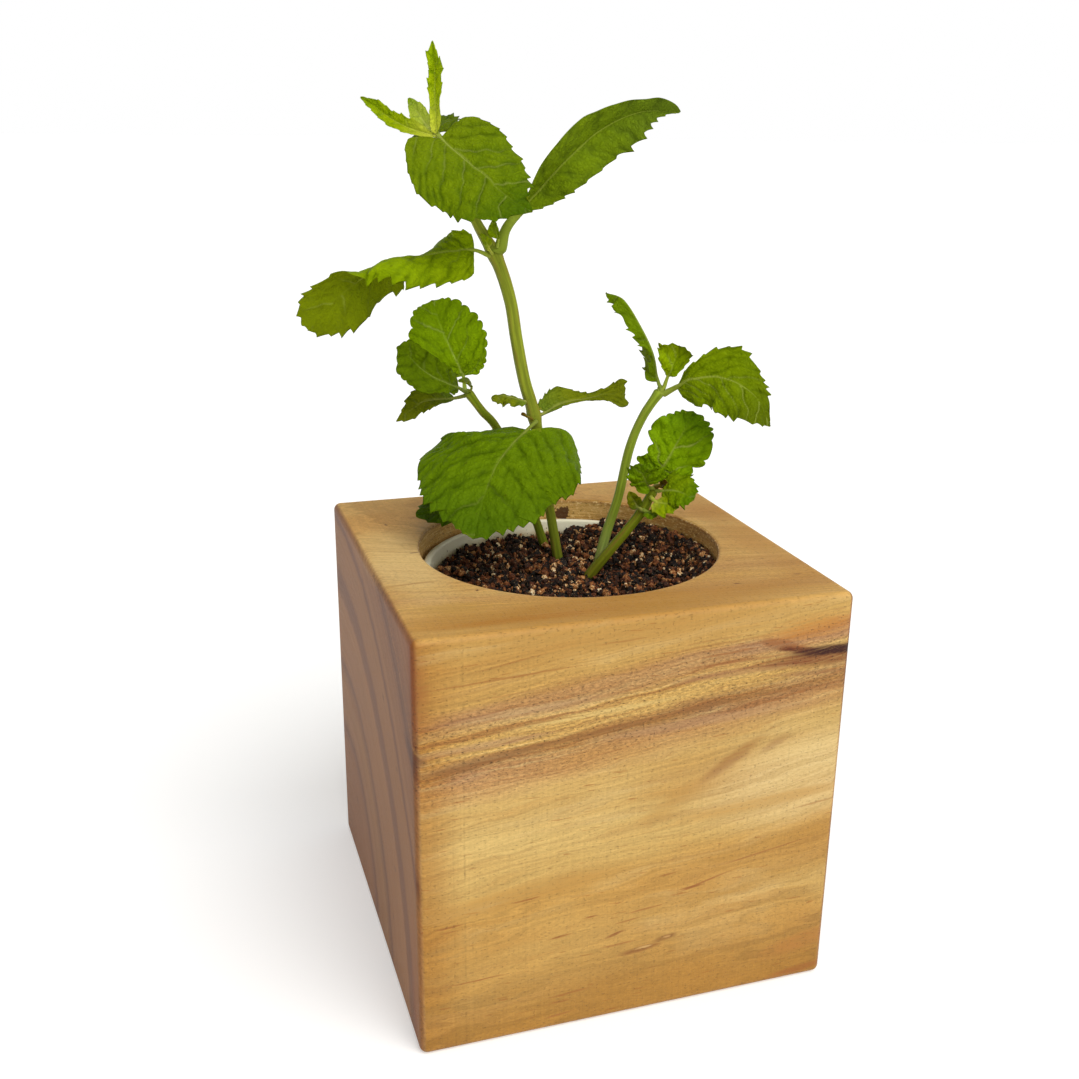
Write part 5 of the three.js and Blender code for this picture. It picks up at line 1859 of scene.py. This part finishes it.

# The leaves by the name of the CAD node that each stands for; a leaf's tone is partly painted light and
# shade.
LEAVES: dict[str, Leaf] = {
    "leaf_tall_top_front": Leaf(
        "tall", [(-26.5, 18.5, 194.5), (-26.5, 17.5, 194), (-23, 12, 190), (-19, 5.5, 186),
         (-15.5, 1, 182), (-11.5, -5, 179)],
        [(0, -1, 0.3), (0, -0.9, 0.4), (0, -0.9, 0.5)], [9.5, 11, 9, 6, 2], [9.5, 13.5, 12.5, 10, 4.5],
        [[7, 9, 6], [22, 2, 9]], [[-7, -18, -7], [-15, -24, -7]], PALE,
        lobe=(1.5, 4), wave=0.4, ragged=0.8, pale=0.7, tone=0.82, seed=3,
    ),
    "leaf_tall_top_back": Leaf(
        "tall", [(-26.5, 20.5, 195), (-26, 22, 195), (-25, 27, 196.5), (-24, 33, 197.5), (-24, 37, 198.5)],
        [(-0.1, 0, 1), (-0.2, -0.1, 1)], [6, 8.5, 8, 5, 2.5], [3, 5, 5.5, 4.5, 2],
        [[-10], [10]], [[-35], [-10]], PALE,
        wave=0.4, tooth=1.0, pale=0.1, tone=0.65, seed=5,
    ),
    "leaf_tall_tip_upright": Leaf(
        "tall", [(-26.8, 19.3, 194), (-27, 19, 194.9), (-27, 19.5, 201), (-27, 19.5, 206.5),
         (-27, 19.5, 210), (-27.5, 19.5, 214.5)],
        [(-0.6, -0.8, 0)], [1.3, 1.2, 2.2, 2.2, 0.7], [2.2, 2.4, 3.6, 2.9, 1.2],
        [[52], [38]], FLAT, YOUNG,
        stalk=0.4, wave=0.6, waves=4, pitch=2.2, tooth=0.7, ragged=0.8, quilt=0.2, tone=1.45, seed=7,
    ),
    "leaf_tall_tip_left": Leaf(
        "tall", [(-26.8, 19, 194), (-27.6, 19, 194.4), (-33, 20, 196), (-37, 21, 198),
         (-40.5, 21.5, 200.5), (-43.5, 22.5, 202.5)],
        [(-0.1, -0.9, 0.4)], [2, 3, 3.5, 2.5, 1], [1, 2, 2, 1.5, 1],
        [[40], [40]], FLAT, YOUNG,
        stalk=0.4, wave=0.3, waves=5, pitch=2.2, tooth=0.6, ragged=0.5, quilt=0.2, tone=1.2, seed=8,
    ),
    "bud_tall_tip": Leaf(
        "tall", [(-27, 19.6, 194.2), (-27.5, 20, 195), (-30, 23.3, 199), (-32, 25, 202.5)],
        [(-0.6, -0.8, 0.1), (-0.8, -0.6, -0.1)], [1.2, 2, 2.3, 1.7, 0.9], [1.2, 2.5, 3, 2.2, 1],
        [[15], [15]], [[10], [10]], BUD,
        stalk=0.4, wave=0.1, pitch=2.4, tooth=0.4, ragged=0.2, pairs=4, quilt=0.12, tone=1.6, seed=9,
    ),
    "leaf_tall_right": Leaf(
        "tall", [(-12.5, 17, 169), (-10.5, 17, 174.5), (-4, 15.5, 182), (1.5, 11.5, 189), (9.5, 10, 196),
         (18, 7, 200), (26, 3, 200)],
        [(-0.4, -0.9, 0.3), (-0.2, -0.9, 0.3), (-0.2, -0.9, 0.4)], [0.5, 4.5, 6.5, 4, 2.5],
         [0.5, 5.5, 7.5, 6.5, 1],
        [[74, 59, 54], [7, -1, 10]], [[13, -9, 0], [-9, -7, -6]], GREY,
        stalk=1.8, wave=0.3, pairs=7, pitch=3.4, tooth=0.9, pale=0.1, smooth_half=-1, tone=1.1, seed=11,
    ),
    "leaf_tall_left": Leaf(
        "tall", [(-15, 17, 167.5), (-19, 16.5, 169), (-24, 15.5, 169), (-31, 17, 168), (-38, 16.5, 167.5),
         (-44.5, 19, 163.5), (-51, 19.5, 158.5), (-58, 21.5, 151)],
        [(-0.3, -0.7, 0.6), (-0.2, -0.6, 0.8), (0, -0.1, 1), (0.1, 0.4, 0.9), (0.3, 0.8, 0.5),
         (0.3, 0.9, 0.4)], [6, 8.5, 8.5, 6, 6], [5.5, 7, 8.5, 8.5, 6],
        [[0, -5, 0, 10, 10, 10], [20, 10, -20, -20, -10, 0]],
         [[-20, -60, -100, -130, -30, -10], [10, -40, -60, -10, -10, 0]], LIME,
        wave=0.4, pairs=7, pitch=3.6, tooth=1.1, ragged=0.5, pale=0.3, quilt=0.45, tone=1.45, seed=13,
    ),
    "bud_axil_left": Leaf(
        "tall", [(-14.5, 16.5, 168), (-16, 14, 169.5), (-17, 13, 171), (-18.5, 12.5, 173)],
        [(0, -0.9, 0.5)], [0.8, 1.3, 1.5, 1, 0.5], [0.8, 1.3, 1.5, 1, 0.5],
        [[30], [30]], [[-10], [-10]], YOUNG,
        margin=Margin.PLAIN, quilt=0.1, seed=15, **TINY,
    ),
    "bud_axil_right": Leaf(
        "tall", [(-13.5, 16, 169.5), (-13.5, 15, 171.5), (-14, 15, 173.5), (-14.5, 15.5, 176)],
        [(-0.8, -0.6, 0.1)], [1, 2, 2.4, 1.8, 0.8], [0.8, 1.5, 2, 1.5, 0.7],
        [[40], [40]], [[-10], [-10]], LIME,
        pitch=1.8, tooth=0.3, quilt=0.12, tone=1.6, seed=16, **TINY,
    ),
    "leaf_low_front": Leaf(
        "tall", [(-4, 14, 127.5), (-7, 12, 126), (-12.5, 7.5, 123.5), (-18, 3, 119), (-22.5, -3, 113),
         (-26.5, -9.5, 106.5)],
        [(-0.3, -0.7, 0.6), (-0.4, -0.7, 0.6), (-0.4, -0.7, 0.6)], [12.5, 19.5, 17.5, 14.5, 6],
         [15.5, 19, 20, 15, 6],
        [[8, -3, 7], [-20, 1, 20, 12]], [[-40, -32, -22], [-48, -39, -42, -11]], GREEN,
        lobe=(10.5, 2.5), wave=0.7, waves=4, pitch=3.4, tooth=1.0, ragged=0.6, pale=0.3, quilt=0.55,
        tone=1.05, seed=17,
    ),
    "leaf_low_right": Leaf(
        "tall", [(-3.5, 15.5, 128.5), (-1.6, 14.8, 129.3), (3, 14.5, 131.5), (10.5, 15, 132.5),
         (15, 15, 133), (19.5, 14.5, 133)],
        [(-0.2, -0.3, 0.9), (-0.1, -0.4, 0.9), (-0.3, -0.8, 0.5)], [3.5, 4.8, 1.7, 2.4, 3.2],
         [1.2, 1.2, 1.4, 2.6, 2.8],
        [[60, 30, 20], [10, 0, 0]], FLAT, OLIVE,
        lobe=(2, 0), wave=0.4, pitch=2.6, tooth=0.7, ragged=0.5, lean=3.5, quilt=0.35, tone=1.2, seed=19,
    ),
    "leaf_low_left": Leaf(
        "tall", [(-5, 16, 131.5), (-6.5, 15.3, 132.4), (-10, 15, 133.6), (-12.8, 15, 134.2),
         (-15.2, 14.5, 133.2)],
        [(-0.2, -0.5, 0.8)], [1.8, 3.4, 3.6, 3.8, 2.6], [1.2, 2, 1.8, 2.1, 1.5],
        [[5], [-20]], [[0], [-30]], OLIVE,
        wave=0.7, waves=4, ragged=0.6, quilt=0.25, tone=1.25, seed=21, **SMALL,
    ),
    "bract_low": Leaf(
        "tall", [(-5, 14.5, 128), (-6.5, 13, 129), (-7.5, 12.5, 129.5), (-8.5, 12, 130)],
        [(-0.2, -0.5, 0.8)], [0.4, 0.7, 0.9, 0.7, 0.4], [0.4, 0.7, 0.9, 0.7, 0.4],
        [[20], [20]], [[-10], [-10]], BROWN,
        stalk=0.4, wave=0, margin=Margin.PLAIN, pairs=3, quilt=0.05, seed=22,
    ),
    "leaf_back_round": Leaf(
        "back", [(-18.5, 28.5, 133.5), (-19, 28, 137), (-20.5, 27, 140), (-23, 27, 145.5),
         (-24.5, 29, 150.5), (-26, 31, 155.5)],
        [(-0.4, -0.9, -0.1), (-0.4, -0.9, 0), (-0.3, -0.9, 0.3)], [5, 7.5, 10.5, 8, 5.5],
         [4.5, 8, 9.5, 7.5, 4.5],
        [[22], [8]], [[13, 6, -1], [10, -6, -5]], MID,
        wave=0.35, waves=4, margin=Margin.ROUNDED, pitch=2.5, tooth=0.8, pale=0.6, tone=1.8, seed=23,
    ),
    "leaf_back_left": Leaf(
        "back", [(-18.5, 27, 133), (-21.5, 23.5, 135), (-25.5, 21, 137), (-30.5, 21, 140),
         (-34.5, 21, 144), (-37, 21.5, 146)],
        [(0, -0.8, 0.5)], [2, 3, 5.5, 5, 1.5], [2, 3.5, 4, 3.5, 2],
        [[8], [25]], [[0], [3]], MID,
        wave=0.3, margin=Margin.ROUNDED, pitch=2.8, tooth=0.6, tone=0.8, seed=25,
    ),
    "leaf_back_droop": Leaf(
        "back", [(-18, 28, 132), (-21.5, 27.5, 131.5), (-25.5, 27, 131.5), (-30, 27, 131),
         (-33.5, 27, 129), (-36.5, 27.5, 126.5)],
        [(-0.1, -0.9, 0.5), (0.1, -0.9, 0.4)], [1, 1.5, 2.5, 2.5, 1], [1.5, 2.5, 4, 2, 0.5],
        [[10], [0]], [[0], [-15]], OLIVE,
        wave=0.3, pitch=2.6, tooth=0.5, pairs=5, quilt=0.2, seed=27,
    ),
    "bud_back": Leaf(
        "back", [(-17.5, 26.5, 133.5), (-18, 23.5, 135), (-20.5, 19.5, 137), (-23, 17, 138)],
        [(0.1, -0.8, 0.6)], [0.5, 1, 1.3, 1, 0.5], [0.5, 1, 1.3, 1, 0.5],
        [[40], [40]], [[-10], [-10]], YOUNG,
        margin=Margin.PLAIN, quilt=0.1, tone=0.55, seed=28, **TINY,
    ),
    "leaf_back_low": Leaf(
        "back", [(-3, 22.5, 105), (-8, 21.5, 106), (-17.5, 19.5, 106.5), (-26.5, 17, 106),
         (-34.5, 15.5, 105)],
        [(-0.3, -0.4, 0.9), (-0.3, -0.5, 0.8)], [3.5, 6, 7, 5.5, 2.5], [3.5, 6, 7, 5.5, 2.5],
        [[10], [5]], [[-10], [-20]], GREEN,
        wave=0.4, seed=29,
    ),
    "leaf_right_narrow": Leaf(
        "right", [(24.5, 3.5, 136.5), (23.9, 4, 138), (22.5, 4, 144.5), (19.5, 5, 151), (15.5, 7, 157.5),
         (12, 10, 159)],
        [(0.8, -0.5, 0.4), (0.5, -0.5, 0.7), (0.2, -0.4, 0.9)], [3.2, 1.6, 3.2, 3.2, 2.2],
         [3.2, 4.6, 3.8, 2.4, 1.2],
        [[-54], [-49]], [[10], [-5]], MID,
        wave=0.35, waves=6, pitch=2.4, tooth=0.9, ragged=0.5, quilt=0.3, seed=31,
    ),
    "leaf_right_small": Leaf(
        "right", [(25, 3, 136.5), (25.5, 2, 139.5), (26, 0.5, 142), (27.5, 0.5, 147)],
        [(-0.5, -0.9, 0.1)], [1, 1.8, 3.6, 5.4, 5.2], [0.5, 1.3, 2.8, 5, 5.2],
        [[28], [37]], [[3], [13]], LIME,
        wave=0.4, ragged=0.6, quilt=0.25, tone=1.7, seed=33, **SMALL,
    ),
    "leaf_right_big": Leaf(
        "right", [(25, 3, 135), (27.5, 1, 137), (30, -2.5, 139.5), (34.5, -6.5, 140.5), (38, -11.5, 139.5),
         (41.5, -15.5, 136), (43.5, -17.5, 130.5)],
        [(-0.3, -0.7, 0.6), (-0.2, -0.8, 0.6), (0.2, -0.8, 0.5)], [1, 5, 8, 3.5, 1], [5.5, 7, 8.5, 8.5, 4],
        [[8], [-3]], [[4, 4, -2], [-11, -9, 0]], LIME,
        stalk=0.95, wave=0.4, waves=4, pairs=6, tooth=0.85, ragged=0.6, lean=1.6, pale=0.8, tone=1.02,
        seed=35,
    ),
    "leaf_short_upper": Leaf(
        "short", [(22.5, -0.5, 113), (23, -0.5, 116), (24, -1.5, 118.5), (26.5, -1.5, 122.5),
         (29, -1.5, 127), (31.5, -0.5, 131)],
        [(-0.5, -0.9, 0.2), (-0.4, -0.9, 0.3)], [6.5, 6.5, 6.3, 6, 3.2], [6.2, 7.6, 7.6, 6.4, 3.8],
        [[8], [9]], [[3], [-6]], GREEN,
        wave=0.5, waves=4, margin=Margin.ROUNDED, pitch=2.9, tooth=1.2, ragged=1.6, pale=0.8, tone=1.75,
        seed=37,
    ),
    "leaf_short_left": Leaf(
        "short", [(21.5, -1.5, 112.5), (19.5, -3, 113.5), (18, -4.5, 115.5), (16.5, -5.5, 118),
         (15.5, -6, 120.5)],
        [(-0.5, -0.6, 0.6)], [2.5, 3.5, 3.5, 3, 1.5], [2, 4.5, 4.5, 3.2, 1.2],
        [[10], [10]], [[-20], [-20]], GREEN,
        wave=0.4, ragged=0.6, quilt=0.3, tone=1.4, seed=39, **SMALL,
    ),
    "leaf_short_right": Leaf(
        "short", [(22.4, -2.2, 112), (23, -3.2, 112.3), (24.6, -5.8, 113), (26.4, -8.4, 112.8),
         (28, -11, 111.8)],
        [(-0.1, -0.9, 0.5)], [3, 5, 5, 4, 2.2], [2, 3.5, 4.5, 4, 2.6],
        [[10], [10]], [[-20], [-25]], PALE,
        wave=0.4, ragged=0.6, quilt=0.3, tone=1.1, seed=41, **SMALL,
    ),
    "leaf_short_yellow": Leaf(
        "short", [(20.5, -2.5, 110.5), (21, -4, 110), (22, -6, 110), (23.5, -7.5, 110), (25, -9, 109.5)],
        [(-0.1, -0.7, 0.7)], [2, 3, 3.4, 2.8, 1.6], [2, 3.4, 4, 3.2, 1.6],
        [[10], [10]], [[-10], [-20]], YOUNG,
        stalk=0.6, wave=0.2, pitch=2.4, tooth=0.8, ragged=0.4, pairs=4, quilt=0.2, tone=1.1, seed=43,
    ),
    "leaf_short_low_left": Leaf(
        "short", [(18, -2.5, 107.5), (17, -3, 108.5), (15.5, -3.5, 110.5), (14, -4, 113)],
        [(-0.6, -0.7, 0.4)], [1.2, 1.7, 1.8, 1.5, 0.8], [1.2, 1.7, 1.8, 1.5, 0.8],
        [[20], [20]], [[-10], [-10]], OLIVE,
        stalk=0.6, wave=0.2, pitch=1.8, tooth=0.4, pairs=3, quilt=0.15, tone=1.3, seed=45,
    ),
    "leaf_short_low_right": Leaf(
        "short", [(18.5, -3, 107.5), (19, -4, 107.5), (19.5, -5.5, 107.5), (20.5, -6.5, 107)],
        [(0, -0.7, 0.7)], [1.6, 2.2, 2.3, 1.9, 1], [1.6, 2.2, 2.4, 2, 1],
        [[10], [10]], [[-10], [-10]], MID,
        stalk=0.6, wave=0.2, pitch=1.8, tooth=0.4, pairs=3, quilt=0.15, tone=1.1, seed=46,
    ),
    "bud_short": Leaf(
        "short", [(22, -1.8, 113), (22.3, -3.5, 113.8), (22.6, -4.8, 114.6), (23, -6, 115.2)],
        [(-0.2, -0.8, 0.5)], [0.8, 1.3, 1.5, 1.1, 0.6], [0.8, 1.3, 1.5, 1.1, 0.6],
        [[30], [30]], [[-10], [-10]], BROWN,
        stalk=0.7, wave=0.1, ragged=0.4, pairs=3, quilt=0.15, tone=0.8, seed=47,
    ),
}


@dataclass
class Plant:
    """The stems and their leaves."""

    stems: dict[str, Stem]
    leaves: dict[str, Leaf]

    def build(self) -> None:
        """Builds and dresses every stem and leaf."""
        for name, stem in self.stems.items():
            stem.build(name)
        finishes: dict[str, bpy.types.Material] = {}
        for name, leaf in self.leaves.items():
            leaf.build(name, self.stems[leaf.stem], finishes)


# ---------------------------------------------------------------------------------------------
# Camera, light and floor


@dataclass
class Studio:
    """The camera at the photo's angle, a pale floor and soft light from the right and above."""

    eye: Point = (-94.72, -269.82, 196.83)
    right: Point = (0.95241073, -0.30466135, 0.00976059)
    down: Point = (-0.08829559, -0.30638865, -0.94780266)
    forward: Point = (0.29174937, 0.90183560, -0.31870809)
    lens: float = 41.0645
    floor_radius: float = 20.0
    key_strength: float = 2.6
    key_direction: Point = (0.2, -0.6, 0.78)
    key_spread: float = 50.0
    sky: float = 0.35
    floor_glow: float = 0.3

    def camera(self) -> None:
        """Makes the camera from its place and its three directions."""
        camera = bpy.data.cameras.new("camera")
        camera.lens, camera.sensor_width = self.lens, 36.0
        camera.clip_start, camera.clip_end = 0.01, 200.0
        eye = bpy.data.objects.new("camera", camera)
        turn = Matrix((self.right, [-v for v in self.down], [-v for v in self.forward])).transposed()
        eye.matrix_world = Matrix.Translation([v * MM for v in self.eye]) @ turn.to_4x4()
        bpy.context.scene.collection.objects.link(eye)
        bpy.context.scene.camera = eye

    def floor(self) -> None:
        """Makes the floor, a wide flat disc just under the block."""
        ring = level_rings([self.floor_radius], [0], 96)[0]
        mesh = bpy.data.meshes.new("studio_floor")
        mesh.from_pydata(ring.tolist(), [], [list(range(len(ring)))])
        floor = bpy.data.objects.new("studio_floor", mesh)
        bpy.context.scene.collection.objects.link(floor)
        g = Graph.of_material("studio_floor")
        shader = g.principled(
            Base_Color=linear((232, 232, 231)),
            Roughness=0.9,
            Specular_IOR_Level=0.1,
            Emission_Color=(1.0, 1.0, 1.0, 1.0),
            Emission_Strength=self.floor_glow,
        )
        mesh.materials.append(g.finish(shader))

    def light(self) -> None:
        """Makes the key light and a pale sky that is bright at the horizon and dimmer overhead."""
        key = bpy.data.lights.new("key", "SUN")
        key.energy, key.angle = self.key_strength, math.radians(self.key_spread)
        key.color = (1.0, 0.985, 0.96)
        lamp = bpy.data.objects.new("key", key)
        lamp.rotation_mode = "QUATERNION"
        lamp.rotation_quaternion = Vector(self.key_direction).to_track_quat("Z", "Y")
        bpy.context.scene.collection.objects.link(lamp)

        world = bpy.data.worlds.new("studio_sky")
        g = Graph(world)
        climb = g.split(g.value("ShaderNodeTexCoord", {}, {}, "Generated"))[2]
        white, strength = (1.0, 1.0, 1.0, 1.0), climb.step(0.12, 0.4, 1.0, self.sky)
        background = g.value("ShaderNodeBackground", {}, {"Color": white, "Strength": strength})
        g.add("ShaderNodeOutputWorld", {}, {0: background})
        bpy.context.scene.world = world

    def build(self) -> None:
        """Makes camera, floor and light, and shows colours as they are."""
        self.camera()
        self.floor()
        self.light()
        bpy.context.scene.view_settings.view_transform = "Standard"


def main() -> None:
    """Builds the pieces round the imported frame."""
    logging.basicConfig(level=logging.INFO, format="%(message)s")
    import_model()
    Studio().build()
    WoodBlock().build()
    cup, plant = Cup(), Plant(STEMS, LEAVES)
    soil = Soil(cup, plant.stems)
    cup.build(soil.level)
    soil.build()
    plant.build()


if __name__ == "__main__":
    main()
